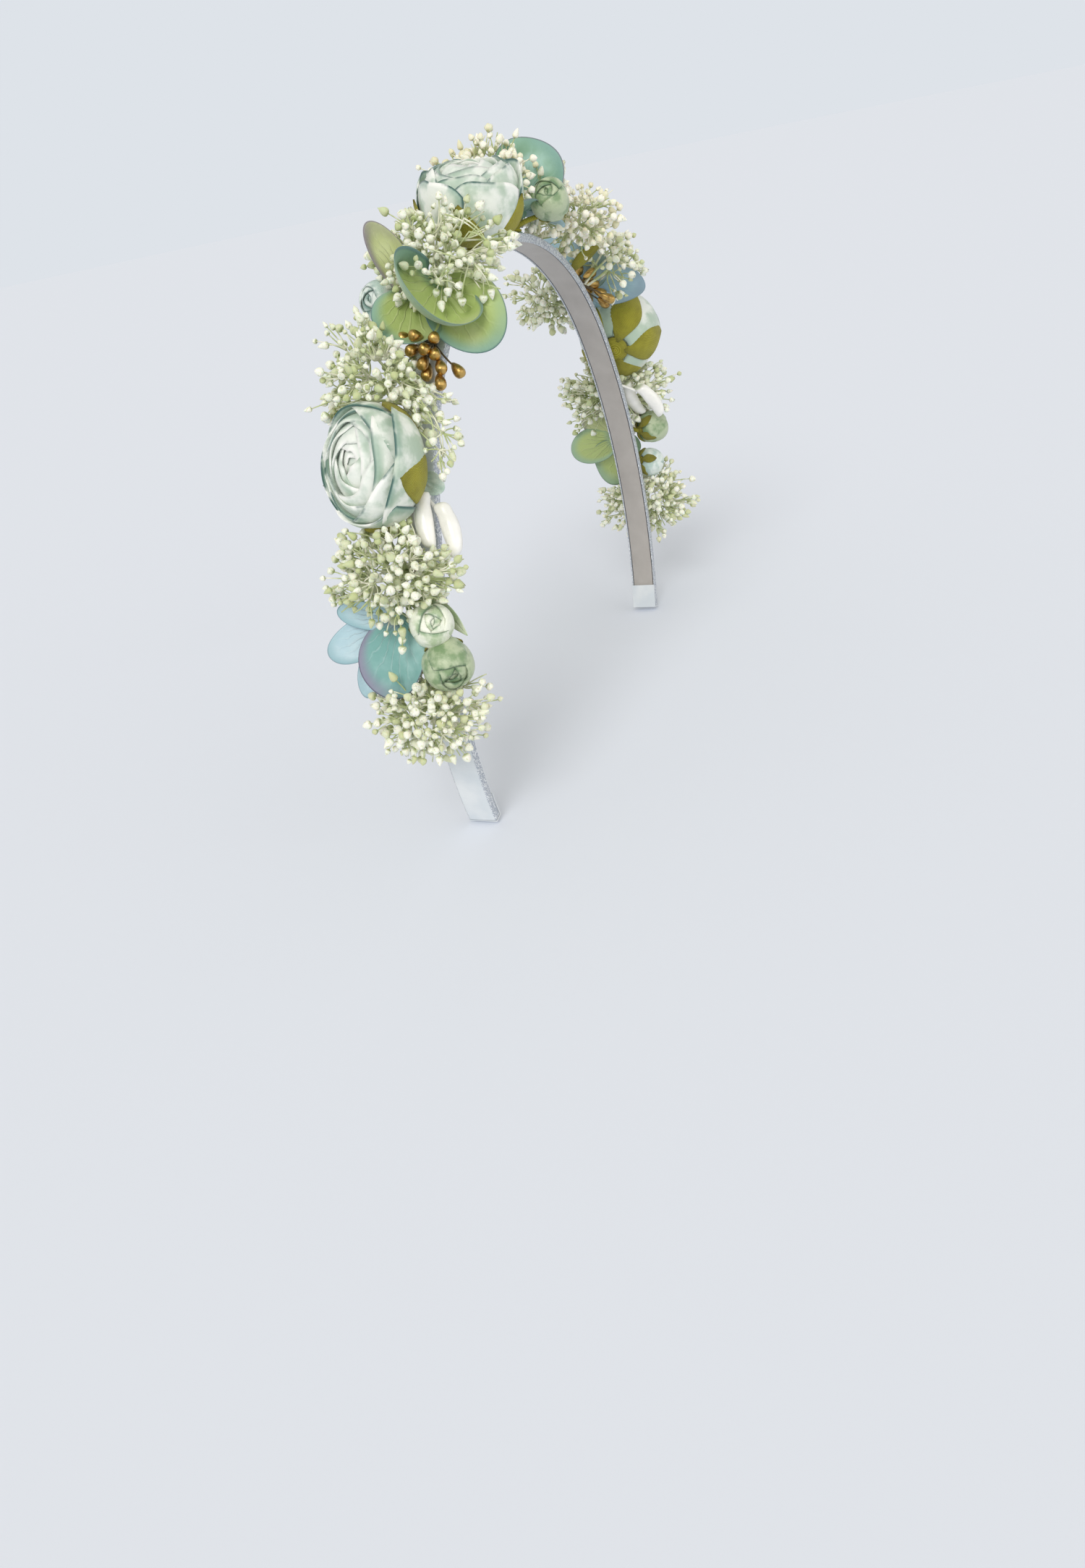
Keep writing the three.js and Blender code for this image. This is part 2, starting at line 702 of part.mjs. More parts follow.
function addStamens(seat) {
  const group = seatedGroup(seat.at * garlandReach);
  crown.add(group);
  const owner = "stamens_" + seat.name;
  const foot = footOf(seat);
  const root = foot.clone();
  root.z += dabHeight / 2;
  const pieces = (grow) => {
    const all = [glueDab(foot, grow)];
    for (const stamen of stamenShares) {
      const turn = seat.mirror > 0 ? stamen.turn : 180 - stamen.turn;
      const wireEnd = new THREE.Vector3(stamenLength * stamen.length - stamenHeadLength / 2, 0, 0);
      const wire = rod(new THREE.Vector3(), wireEnd, stamenWireDiameter + 2 * grow, wireSideCount);
      const head = stamenHead(stamenHeadLength + 2 * grow, stamenHeadDiameter + 2 * grow);
      head.translate(wireEnd.x - stamenHeadLength / 2 - grow, 0, 0);
      all.push(...[wire, head].map((piece) => posed(piece, root, { turn, lift: stamen.lift, roll: 0 })));
    }
    return all;
  };
  addNode(group, owner, finishes.gilt, pieces, owner);
  keepPieces(group, owner, pieces(neighbourGap));
}

// Pearl clay buds: short fingers that bend away from their stems
const clayBudShares = [
  {
    name: "right_front", at: -0.602, aside: -0.72, rise: 0.5,
    foot: [0.3, -0.25], turn: 199, lift: 2, bend: 1,
  },
  {
    name: "right_back", at: -0.588, aside: -0.36, rise: 0.9,
    foot: [0.3, 0.15], turn: 190, lift: 6, bend: -1,
  },
  {
    name: "left_front", at: 0.655, aside: -0.95, rise: 0.5,
    foot: [-0.3, -0.25], turn: -22, lift: 4, bend: -1,
  },
  {
    name: "left_back", at: 0.648, aside: -0.5, rise: 0.9,
    foot: [-0.3, 0.15], turn: -12, lift: 6, bend: 1,
  },
];

function addClayBud(seat) {
  const group = seatedGroup(seat.at * garlandReach);
  crown.add(group);
  const owner = "clay_bud_" + seat.name;
  const root = new THREE.Vector3(0, seat.aside * bandWidth, seat.rise * clayBudDiameter);
  const finger = (grow) => {
    const place = (turn, along) => {
      const angle = 2 * Math.PI * turn;
      const fullness = Math.sqrt(Math.sin(Math.PI * Math.pow(along, clayBudBellyShare)));
      const flat = (clayBudDiameter / 2 + grow) * fullness;
      const y = flat * Math.cos(angle) + seat.bend * clayBudBend * Math.sin(Math.PI * along);
      return new THREE.Vector3(along * (clayBudLength + 2 * grow) - grow, y, flat * Math.sin(angle));
    };
    return posed(closedSkin(petalSideCount, budRingCount, place), root, { ...seat, roll: 0 });
  };
  const inward = new THREE.Vector3(clayBudDiameter / 2, 0, 0);
  inward.applyAxisAngle(new THREE.Vector3(0, 0, 1), THREE.MathUtils.degToRad(seat.turn)).add(root);
  const pieces = (grow) => [...stemPieces(footOf(seat), inward, sprayStemDiameter, grow), finger(grow)];
  addNode(group, owner, finishes.pearl, pieces, owner);
  keepPieces(group, owner, pieces(neighbourGap));
}

// Leaves: sizes as shares of the whole leaf
const leafShares = [
  {
    name: "leaf_pale", at: -0.745, foot: [0, -0.28],
    turn: 225, lift: 5, length: 1.1, width: 0.6, tone: "mintLeaf",
  },
  {
    name: "leaf_blue", at: -0.56, foot: [0, -0.25],
    turn: 252, lift: 24, length: 0.75, width: 1.1, tone: "tealPetal",
  },
  {
    name: "leaf_olive", at: 0.325, foot: [0, -0.2],
    turn: 290, lift: 38, length: 1.2, width: 0.85, tone: "sepal",
  },
];
const leafFormShares = { bellyShare: 0.8, blunt: 0.9, cupShare: 0.4, waveShare: 0, curlShare: 0.05 };

function addLeaf(seat) {
  const group = seatedGroup(seat.at * garlandReach);
  crown.add(group);
  const foot = footOf(seat);
  const root = foot.clone();
  root.z += dabHeight / 2;
  const length = leafLength * seat.length;
  const pieces = (grow) => {
    const blade = petalBlade(length, leafWidth * seat.width, leafThickness, leafFormShares, grow);
    return [glueDab(foot, grow), posed(blade, root, { ...seat, roll: 0 })];
  };
  addNode(group, seat.name, finishes[seat.tone], pieces, seat.name);
  keepPieces(group, seat.name, pieces(neighbourGap));
}

// Gypsophila sprays: sizes as shares of the whole spray, rise as the share of its height at which
// its middle lies over the ribbon
const sprayShares = [
  { name: "right_end", at: -0.932, aside: 0.1, rise: 0.45, length: 0.88, width: 0.95, height: 0.9 },
  { name: "right_low", at: -0.7, aside: 0.25, rise: 0.5, length: 0.95, width: 1.02, height: 1.05 },
  { name: "right_middle", at: -0.43, aside: 0.6, rise: 0.48, length: 1.1, width: 0.95, height: 1 },
  { name: "right_high", at: -0.228, aside: -0.15, rise: 0.5, length: 0.92, width: 0.98, height: 1 },
  { name: "top_back", at: 0.071, aside: 0.7, rise: 0.64, length: 0.85, width: 0.72, height: 1.26 },
  { name: "top_front", at: 0.15, aside: -0.4, rise: 0.5, length: 0.5, width: 0.5, height: 0.95 },
  { name: "left_high", at: 0.262, aside: -1.0, rise: 0.48, length: 0.72, width: 0.72, height: 1 },
  { name: "left_upper", at: 0.385, aside: -1.0, rise: 0.45, length: 0.62, width: 0.75, height: 0.85 },
  { name: "left_middle", at: 0.45, aside: 1.7, rise: 0.48, length: 0.7, width: 0.75, height: 0.95 },
  { name: "left_low", at: 0.7, aside: 0.4, rise: 0.5, length: 0.95, width: 1.1, height: 1 },
  { name: "left_end", at: 0.939, aside: -0.1, rise: 0.45, length: 0.88, width: 1.05, height: 0.9 },
];

// Directions spread evenly over a ball
function spreadDirection(index, count) {
  const up = 1 - (2 * index + 1) / count;
  const flat = Math.sqrt(1 - up * up);
  const turn = goldenTurn * index;
  return new THREE.Vector3(flat * Math.cos(turn), flat * Math.sin(turn), up);
}

// The share of a spray's reach in a direction, with a lump round each evenly spread direction
function lumpReachShare(direction) {
  let nearest = -1;
  for (let i = 0; i < lumpCount; i += 1) {
    nearest = Math.max(nearest, direction.dot(spreadDirection(i, lumpCount)));
  }
  return 1 - lumpShare + lumpShare * Math.exp(-lumpSharpness * (1 - nearest));
}

// A sprig from the heart of the spray to a bead just outside it
function sprigPieces(middle, half, index, grow = 0) {
  const up = new THREE.Vector3(0, 0, 1);
  const direction = spreadDirection(index, 2 * sprigCount).applyAxisAngle(up, index);
  const tip = direction.clone().multiply(half).addScaledVector(direction, sprigReach / 2).add(middle);
  const bead = new THREE.IcosahedronGeometry(beadDiameter / 2 + grow, beadDetail);
  bead.translate(tip.x, tip.y, tip.z);
  const root = middle.clone().lerp(tip, 1 / 2);
  return [rod(root, tip, sprayStemDiameter + 2 * grow, wireSideCount), bead];
}

// The stems of a spray, which spread from the dab of glue up to the spray's middle
function stemCone(foot, middle, half) {
  const start = foot.clone();
  start.z += dabHeight / 2;
  const along = middle.clone().sub(start);
  const spread = stemSpreadShare * Math.min(half.x, half.y);
  const cone = new THREE.CylinderGeometry(spread, dabWidth / 2, along.length(), dabSideCount);
  const up = new THREE.Vector3(0, 1, 0);
  cone.applyQuaternion(new THREE.Quaternion().setFromUnitVectors(up, along.normalize()));
  const centre = start.add(middle).divideScalar(2);
  cone.translate(centre.x, centre.y, centre.z);
  return cone;
}

function isFree(piece) {
  const solid = solidOf(piece);
  return spacesNear(boxOf(piece), "").every((space) => solid.intersect(space.solid).isEmpty());
}

function addSpray(seat) {
  const group = seatedGroup(seat.at * garlandReach);
  crown.add(group);
  const owner = "gypsophila_" + seat.name;
  const half = new THREE.Vector3(seat.length, seat.width, seat.height);
  half.multiply(new THREE.Vector3(sprayLength, sprayWidth, sprayHeight)).divideScalar(2);
  const middle = new THREE.Vector3(0, seat.aside * bandWidth, seat.rise * sprayHeight);
  const core = new THREE.IcosahedronGeometry(1, sprayDetail);
  const position = core.getAttribute("position");
  for (let i = 0; i < position.count; i += 1) {
    const direction = new THREE.Vector3().fromBufferAttribute(position, i).normalize();
    const point = direction.clone().multiply(half).multiplyScalar(lumpReachShare(direction));
    point.add(middle);
    position.setXYZ(i, point.x, point.y, Math.max(point.z, seatGap));
  }
  const frame = new THREE.Matrix4().setPosition(middle);
  const indices = Array.from({ length: sprigCount }, (unused, i) => i);
  const grown = indices.filter((i) => placed(sprigPieces(middle, half, i), group).every(isFree));
  const sprigs = (grow) => grown.flatMap((i) => sprigPieces(middle, half, i, grow));
  const foot = new THREE.Vector3(0, Math.sign(seat.aside) * sprayFootShare * bandWidth, seatGap);
  const stems = [glueDab(foot), stemCone(foot, middle, half)];
  const viewpoint = middle.clone().applyMatrix4(group.matrixWorld);
  const cut = (space) => spaceAndBehind(space, viewpoint);
  addNode(group, owner, finishes.gypsophila, () => [core, ...stems, ...sprigs(0)], owner, cut);
  keepPieces(group, owner, [eggSpace(half, frame), ...sprigs(neighbourGap)]);
}

addBand();
ranunculusShares.forEach(addRanunculus);
rosebudShares.forEach(addRosebud);
clayBudShares.forEach(addClayBud);
hydrangeaShares.forEach(addHydrangea);
stamenBunchShares.forEach(addStamens);
leafShares.forEach(addLeaf);
sprayShares.forEach(addSpray);

export default crown;
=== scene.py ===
# The looks of the flower crown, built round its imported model. Lengths are in millimetres until a mesh
# is made, and angles in degrees in the tables. +X is the wearer's left, -Y the front and +Z up.

import json
import math

import bpy
import numpy as np
from mathutils import Matrix, Vector
from mathutils.bvhtree import BVHTree

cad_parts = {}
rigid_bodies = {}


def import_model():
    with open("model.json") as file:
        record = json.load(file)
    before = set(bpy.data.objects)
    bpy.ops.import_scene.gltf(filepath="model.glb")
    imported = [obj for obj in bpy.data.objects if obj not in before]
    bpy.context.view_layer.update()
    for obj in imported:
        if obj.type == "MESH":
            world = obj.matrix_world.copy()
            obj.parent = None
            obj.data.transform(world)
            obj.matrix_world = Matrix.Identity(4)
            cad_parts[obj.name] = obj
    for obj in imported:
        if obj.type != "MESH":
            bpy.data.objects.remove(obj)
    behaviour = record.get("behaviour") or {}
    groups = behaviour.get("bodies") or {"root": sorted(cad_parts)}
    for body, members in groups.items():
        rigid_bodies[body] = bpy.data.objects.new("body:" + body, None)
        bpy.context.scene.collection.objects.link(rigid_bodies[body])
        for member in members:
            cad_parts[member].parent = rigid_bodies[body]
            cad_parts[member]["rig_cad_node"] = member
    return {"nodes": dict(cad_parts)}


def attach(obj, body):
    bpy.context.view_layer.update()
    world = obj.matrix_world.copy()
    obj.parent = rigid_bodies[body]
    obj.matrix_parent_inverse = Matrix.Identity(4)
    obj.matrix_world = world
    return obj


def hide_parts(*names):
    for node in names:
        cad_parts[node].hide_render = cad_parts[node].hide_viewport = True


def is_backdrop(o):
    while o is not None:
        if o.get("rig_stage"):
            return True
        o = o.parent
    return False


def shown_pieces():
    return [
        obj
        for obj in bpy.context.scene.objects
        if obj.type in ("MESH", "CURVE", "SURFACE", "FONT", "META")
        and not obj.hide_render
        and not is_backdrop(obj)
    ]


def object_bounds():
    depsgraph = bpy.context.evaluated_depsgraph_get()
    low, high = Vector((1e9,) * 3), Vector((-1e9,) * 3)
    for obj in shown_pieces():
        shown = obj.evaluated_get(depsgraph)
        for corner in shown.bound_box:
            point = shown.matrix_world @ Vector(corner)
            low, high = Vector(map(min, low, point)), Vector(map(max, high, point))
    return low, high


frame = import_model()
cad_low, cad_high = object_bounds()

MM = 0.001
BODY = "root"

# Band arch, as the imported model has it
CROWN_RADIUS = 65.8
CROWN_SWEEP = math.radians(60)
CROWN_FACETS = 15
SIDE_RADIUS = 121.8
SIDE_SWEEP = math.radians(45)
BAND_WIDTH = 8
BAND_THICKNESS = 2.2
BARE_END = 24.5
RIBBON_THICKNESS = 0.35
LAYER_GAP = 0.3
END_FOLD = 7
ARCH_STEPS = 220
CORNER_RADIUS = 0.45
CORNER_STEPS = 5
RIBBON_CROWN = 0.06
TOP_SHARE, TOP_STEPS = 0.8, 9
FOLD_ROUND = 0.4
FOLD_CORNER = 0.2
HEM_STEPS = 9
HEM_BEVEL = 0.12
HEM_INSET = 0.004
SHARP_EDGE = 50

# Glue dabs and stems
SEAT_GAP = 0.3
PIECE_GAP = 0.3
DAB_SIZE = (3.6, 3.2, 0.9)
DAB_BITE = 0.4
STEM_DIAMETER = 1.3
STEM_SIDES = 10

# Flowers
RANUNCULUS_RADIUS = 12.5
RANUNCULUS_HALF = 9.25
RANUNCULUS_SEPAL = 0.9
ROSEBUD_RADIUS = 5
ROSEBUD_HALF = 5.3
ROSEBUD_SEPAL = 0.7
FLORET_PETAL = 17
FLORET_THICKNESS = 0.28
FLORET_HUB = 3
FLORET_PIP = 2.2

# Sprays, stamens, clay buds and leaves
SPRAY_SIZE = (25, 30, 19)
SPRAY_FOOT = 0.2
SEED_HEAD = 1.85
STAMEN_LENGTH = 11
STAMEN_HEAD = (4.9, 2.7)
STAMEN_WIRE = 0.45
STAMEN_BEND, STAMEN_TURN = 0.7, 2.4
STAMEN_GRID = (18, 15)
WIRE_SIDES = 8
CLAY_BUD = (12.5, 4.5)
CLAY_BEND = 1.6
CLAY_STEM = 0.9
CLAY_FLATNESS = 0.86
CLAY_GRID = (22, 23)
LEAF_SIZE = (11, 6)
LEAF_THICKNESS = 0.3

# Camera, fitted to the band's edges in the photograph: its focal length in the picture's pixels, the
# crown's place before it, and how the crown is turned
PICTURE_HEIGHT = 2167
FOCAL_PIXELS = 1627
SENSOR = 36
CAMERA_PITCH = math.radians(33.6)
CROWN_TURN = math.radians(21.22)
CROWN_TILT = math.radians(11.39)
CROWN_LEAN = math.radians(-0.67)
CROWN_PLACE = (-12.39, 322.41, -49.46)

# Seats: a station as a share of the garland's reach, an aside as a share of the band's width, and
# the glued foot as shares of the width along and aside of the flower's own place
RANUNCULI = {
    "right": dict(at=-0.547, aside=0.62, foot=(0.2, 0.2), lean=-12, tip=-3, spin=-2, open=230,
                  stretch=(1.1, 0.94)),
    "top": dict(at=-0.092, aside=-0.38, foot=(0, 0), lean=9, tip=6, spin=12, open=300, sepal_tip=6,
                scalloped=True),
    "left": dict(at=0.564, aside=-0.35, foot=(-0.2, -0.1), lean=-8, tip=6, spin=30, open=120,
                 scalloped=True),
}
ROSEBUDS = {
    "right_low": dict(at=-0.837, aside=-0.92, rise=0.74, size=1.1, foot=(-0.5, -0.2), lean=40, tip=-25),
    "right_high": dict(at=-0.777, aside=-0.62, rise=0.78, size=0.95, foot=(0.3, -0.2), lean=35, tip=20),
    "right_back": dict(at=-0.279, aside=1.5, rise=0.6, size=0.86, foot=(0.5, 0.25), lean=-12, tip=-38),
    "top": dict(at=0.109, aside=-1.22, rise=0.68, size=0.95, foot=(-0.55, -0.2), lean=24, tip=-66),
    "left_high": dict(at=0.77, aside=-0.95, rise=0.7, size=0.95, foot=(-0.4, -0.2), lean=40, tip=10),
    "left_low": dict(at=0.848, aside=-0.6, rise=0.6, size=0.85, foot=(0.3, -0.1), lean=30, tip=30),
}
DARK_BUDS = ("right_back", "left_low")
DEEP_BUDS = ("right_low", "top", "left_high")

# Rings of petals from the outside in: how many, radius share, rim, flare, half width, first turn
RANUNCULUS_RINGS = {
    "outer_petals": [(4, 1.0, 30, 0.03, 60, 0), (4, 0.945, 41, 0.02, 58, 40)],
    "inner_petals": [(3, 0.885, 50, 0.01, 74, 15), (3, 0.81, 59, 0, 78, 72)],
    "heart": [(3, 0.71, 69, 0, 82, 30), (3, 0.59, 79, 0, 86, 95), (2, 0.44, 88, 0, 125, 10)],
}
SCALLOPED_PETALS = [(5, 1.0, 33, 0.06, 43, 0), (5, 0.93, 45, 0.04, 45, 36)]
ROSEBUD_RINGS = {
    "petals": [(3, 1.0, 58, 0.01, 74, 0), (3, 0.84, 72, 0, 80, 58), (2, 0.62, 87, 0, 125, 20)],
}
PETAL_SLANT = 7
PETAL_SWAY = 12
INNERMOST = 0.7
PETAL_FILLING = 0.065
CORE_GAP = 0.06
RING_HEIGHT_POWER = 0.35
PETAL_BASE = -72
PETAL_SQUARENESS = 0.84
PETAL_TUCK = 0.03
PETAL_CORNER = 0.2
PETAL_THICKNESS = 0.42
PETAL_COLUMNS = 23
PETAL_ROWS = 17
PETAL_STEEPEST = 1.56
# Where along a petal it starts to open and its lip to bend, and over what share
PETAL_OPENING = (0.4, 0.6)
PETAL_LIP = (0.86, 0.14)
PETAL_WIDENING = 1.25
PETAL_RIPPLE = 0.013
PETAL_LIP_DEPTH = 0.02
PETAL_RIM_SWAY = 4
FLARE_SHARES = (0.3, 1.5)
# A sheet's thickness at its edge as a share of the rest, and where its filling starts and is full
EDGE_SHARE, REST_SHARE = 0.35, 0.65
EDGE_TAPER = 3
FILLING_RUN = (0.4, 2.2)

# Sepals
SEPAL_BASE = 80
SEPAL_HALF = 31
SEPAL_SHEET = 0.35
SEPAL_CLEARANCE = 0.15
SEPAL_GRID = (13, 17)
BUTTON_SHARE = 0.34
BUTTON_GRID = (16, 7)

# Eggs that keep the sprays off the flowers, larger than these by a clearance
RANUNCULUS_MARGIN = 0.8
ROSEBUD_MARGIN = 0.7
RANUNCULUS_INSET = 0.4
ROSEBUD_INSET = (0.93, 0.97)
RANUNCULUS_BULGE, ROSEBUD_BULGE = 0.0, 0.13
ROSEBUD_SPIN = 40

# Petals of each floret: turn, lift, roll, length share, width share, curl, brim and tint
FLORETS = {
    "right_teal": dict(
        at=-0.768, aside=0.5, rise=0.36, foot=(-0.55, 0.15), tone="hydrangea_teal",
        petals=[
            (167, 24, 0, 1.08, 1.02, -0.3, 0, 0),
            (112, 2, 10, 1.36, 0.56, -0.05, 0, 1),
            (142, -5, 0, 1.45, 0.5, -0.05, 0, 1),
            (82, 6, 0, 0.95, 0.4, 0, 0, 1),
        ],
    ),
    "right_green": dict(
        at=-0.271, aside=-0.5, rise=0.47, foot=(0.3, 0.1), tone="hydrangea_green",
        petals=[
            (172, 8, -50, 0.84, 1.3, -0.05, 0.42, 0),
            (228, -24, 28, 1.15, 0.95, -0.1, 0, 0),
        ],
        twin=(-1.4, 2.6, 7.2), lip=1.8,
        twin_petals=[
            (47, 55, 0, 1.02, 0.46, 0.1, 0, 1),
            (178, -4, -38, 0.86, 0.92, -0.12, 0, 0),
        ],
    ),
    "top_teal": dict(
        at=0.108, aside=-0.2, rise=0.32, foot=(0, 0), tone="hydrangea_teal", look="sea_green",
        petals=[
            (331, 75, 68, 1.1, 1.1, 0.05, 0, 0),
            (328, -12, 0, 0.8, 0.45, 0, 0, 1),
            (70, 20, 0, 0.8, 0.8, 0, 0, 0),
            (200, 8, 0, 0.65, 0.6, 0, 0, 0),
        ],
    ),
    "left_blue": dict(
        at=0.43, aside=0.1, rise=0.42, foot=(0, 0), tone="hydrangea_blue",
        petals=[
            (150, 24, 0, 1.1, 0.9, -0.1, 0, 0),
            (15, 12, 0, 0.8, 1.0, -0.1, 0, 0),
            (285, 22, 0, 1.05, 0.85, -0.2, 0, 0),
            (200, 30, 0, 0.75, 0.8, 0, 0, 1),
        ],
    ),
    "left_green": dict(
        at=0.79, aside=0.8, rise=0.4, foot=(0.1, 0.15), tone="hydrangea_green",
        petals=[
            (10, 24, 0, 1.05, 1.0, -0.2, 0, 0),
            (75, 6, 0, 1.05, 0.7, 0, 0, 0),
            (130, 12, 0, 0.85, 0.7, 0, 0, 1),
            (320, 20, 0, 0.6, 0.6, 0, 0, 0),
        ],
    ),
}
FLORET_CUP = 0.45
FLORET_FRILL = 0.035
FLORET_LIP = 0.08
FLORET_GRID = (49, 33)
FAN_SWEEP = math.radians(82)
FAN_FULLNESS = 0.8
VEIN_COUNT = 5.5
VEIN_DEPTH = 0.09

# Stamens: turn, lift, length share; and their bunches
STAMENS = [
    (120, 46, 0.8),
    (168, 62, 0.8),
    (162, 38, 0.85),
    (194, 38, 0.85),
    (184, 20, 0.95),
    (208, 24, 0.85),
    (226, 46, 0.75),
    (184, 4, 1.0),
    (208, 10, 1.1),
    (201, 3, 1.35),
    (223, -4, 1.2),
]
STAMEN_BUNCHES = {"right": dict(at=-0.336, foot=(0, -0.15)), "left": dict(at=0.36, foot=(0, -0.15))}

CLAY_BUDS = {
    "right_front": dict(at=-0.6, aside=-0.72, rise=0.5, foot=(0.3, -0.25), turn=199, lift=2, bend=0.8),
    "right_back": dict(at=-0.583, aside=-0.42, rise=0.9, foot=(0.3, 0.15), turn=192, lift=6, bend=-0.7),
    "left_front": dict(at=0.655, aside=-0.95, rise=0.5, foot=(-0.3, -0.25), turn=-22, lift=4, bend=-1),
    "left_back": dict(at=0.648, aside=-0.5, rise=0.9, foot=(-0.3, 0.15), turn=-12, lift=6, bend=1),
}

LEAVES = {
    "leaf_pale": dict(at=-0.745, foot=(0, -0.28), turn=225, lift=5, length=1.1, width=0.6,
                      tone="leaf_mint"),
    "leaf_blue": dict(at=-0.556, foot=(0, -0.06), turn=243, lift=-3, roll=-5, length=0.62, width=0.86,
                      tone="leaf_blue_green", fan=True),
    "leaf_olive": dict(at=0.325, foot=(0, -0.2), turn=270, lift=38, length=1.2, width=0.85,
                       tone="olive_sepal"),
}
LEAF_FORM = dict(belly=0.8, blunt=0.9, cup=0.4)
LEAF_CURL = 0.05
LEAF_GRID = (17, 25)

# Sprays: station, aside, rise share of the height, length, width and height shares, warmth, and the
# share of its heads that may hide what the photograph shows behind them
SPRAYS = {
    "right_end": (-0.915, 0, 0.45, 0.86, 0.88, 0.88, 0.35, 0.1),
    "right_low": (-0.7, 0.25, 0.5, 0.95, 0.98, 1.02, 0.2, 0.1),
    "right_middle": (-0.43, 0.6, 0.48, 1.1, 0.88, 0.96, 0.15, 0.05),
    "right_high": (-0.235, -0.2, 0.5, 0.95, 0.95, 1, 0.1, 0.45),
    "top_back": (0.071, 0.7, 0.64, 0.85, 0.85, 1.2, 0.85, 0.2),
    "top_front": (0.15, -0.4, 0.5, 0.6, 0.55, 0.95, 0.9, 0.5),
    "left_high": (0.262, -1.0, 0.48, 0.72, 0.72, 1, 0.9, 0.1),
    "left_upper": (0.385, -1.0, 0.45, 0.62, 0.75, 0.85, 0.3, 0.1),
    "left_middle": (0.45, 1.7, 0.48, 0.7, 0.75, 0.95, 0.3, 0.1),
    "left_low": (0.7, 0.4, 0.5, 0.95, 1.1, 1, 0.2, 0.1),
    "left_end": (0.939, -0.1, 0.45, 0.88, 1.05, 0.9, 0.4, 0.1),
}

# Stray sprigs of a spray: where their forks lie from its station, in millimetres
STRAYS = {
    "right_middle": [(-9, -8.5, 7), (-12, -10.5, 7), (-15.5, -9.5, 6.5), (-4, -8, 7)],
    "right_high": [(-7, -13, 8), (1, -14, 9), (8, -12, 7), (-12, -8, 12)],
    "left_upper": [(9, -9, 6)],
}
# Bare curved wires that stand off a spray, each ending in a head: points from its station
WISPS = {
    "right_high": [
        [(-8.5, -6.3, 18.2), (-8.2, -10.6, 14.9), (-7.2, -14.2, 12.7)],
        [(-7.2, -14.2, 12.7), (-8, -16.8, 9.6), (-9.5, -17.3, 6.3)],
        [(-7.2, -14.2, 12.7), (-8, -17, 9.8), (-10.4, -15.6, 6)],
        [(-7.2, -14.2, 12.7), (-10.5, -12.5, 10.5), (-12.2, -11.4, 7.4)],
        [(-8.2, -10.6, 14.6), (-10.4, -9.2, 12.6), (-11.9, -9, 10.2)],
        [(-1.7, -13.8, 19), (-2.6, -17.6, 16.4), (-4.6, -18.2, 12.6)],
        [(-3.4, -14.6, 16.8), (-2.8, -18.9, 15), (-5.6, -18, 11.6)],
        [(-0.5, -9, 20), (-1.5, -14.5, 18.6), (-3.6, -17.4, 14.2)],
    ],
    "right_middle": [
        [(-6, -6.5, 11), (-10, -9.5, 9.5), (-13.5, -9, 8.5)],
        [(-8, -8, 9), (-12.5, -11.5, 7), (-17.5, -9.5, 5)],
    ],
}
HEAD_ROOM = 15
KNOT_ROOM = 900
HEADS_PER_FORK = 6
HEAD_SCATTER = 0.12
FORK_REACH = (0.7, 1.04)
LONER_SHARE = 0.05
LONER_REACH = 1.25
HEAD_SPACING = 1.25
HEAD_TRIES = 7
HEAD_SIZES = (0.55, 1.2)
TWIG_DIAMETERS = (0.7, 0.46, 0.33)
BARE_TWIG_SHARE = 0.12
TWIG_STEPS = 8
TWIG_SIDES = 5
LOWEST_HEAD = 1.3
SIGHT_REACH = 45
FINEST_CLEARANCE = 0.9
STALK_ROOM = 0.15
# Places that no head may hide: a station, the place from it and a radius
KEPT_IN_SIGHT = [(-0.092, (-11, -6, 6), 3.8)]
# Shares of the spray's half size at which the knots, forks and heads stand
KNOT_REACH = 0.38
FORK_SHARES = (0.62, 0.78)
HEAD_SHARES = (0.22, 0.36)
HEAD_LENGTHS = (0.7, 1.2)
STRAY_HEADS = 0.2
FEWEST_KNOTS = 6
KNOT_LEVEL, KNOT_RISE = 0.7, 0.15
KNOT_TURN, FORK_TURN = 40, 70
# How far bends are pulled aside at random, how far a low head is raised and heads are turned
KNOT_PULL, HEAD_PULL = 0.8, 0.9
LOW_HEAD_RISE = 1.2
HEAD_SWAY = 0.12
HEAD_ROOM_SHARE = 0.8
TWIG_TAPER = (1.15, 0.85)
# Shares of the five kinds of seed head, and how finely each is made
HEAD_KINDS = [0.36, 0.16, 0.22, 0.12, 0.14]
HEAD_GRID = (12, 9)

# Threads of the olive cloth: turns lengthwise and crosswise
THREADS = ((41, 9.8), (-28.7, 14))
RIB_SPACING = 0.32
NOISE_SEEDS = 50.0

# First seeds of the random draws of each kind of piece
SEEDS = {"ranunculus": 100, "rosebud": 200, "floret": 300, "leaf": 400, "spray": 500}

# Floor, backdrop and world
FLOOR_DROP = 0.8
FLOOR_RADII = (400, 6000)
FLOOR_SIDES = 64
FLOOR_TONE = 0xE4E9F4
FLOOR_ROUGHNESS = 0.9
BACKDROP_TONE = 0xDEE3E9
WORLD_STRENGTH = 0.65
WORLD_COLOUR = (1, 0.985, 0.93, 1)
CLIP_START, CLIP_END = 0.01, 20

# Lamps: the way to them as the camera sees it, strength, softness in degrees and colour
LAMPS = {
    "key": ((-0.4, -1.0, 0.9), 1.4, 30, (1.0, 0.985, 0.95)),
    "fill": ((0.9, -0.7, 0.4), 0.6, 60, (1.0, 0.985, 0.95)),
}


# Places along the band


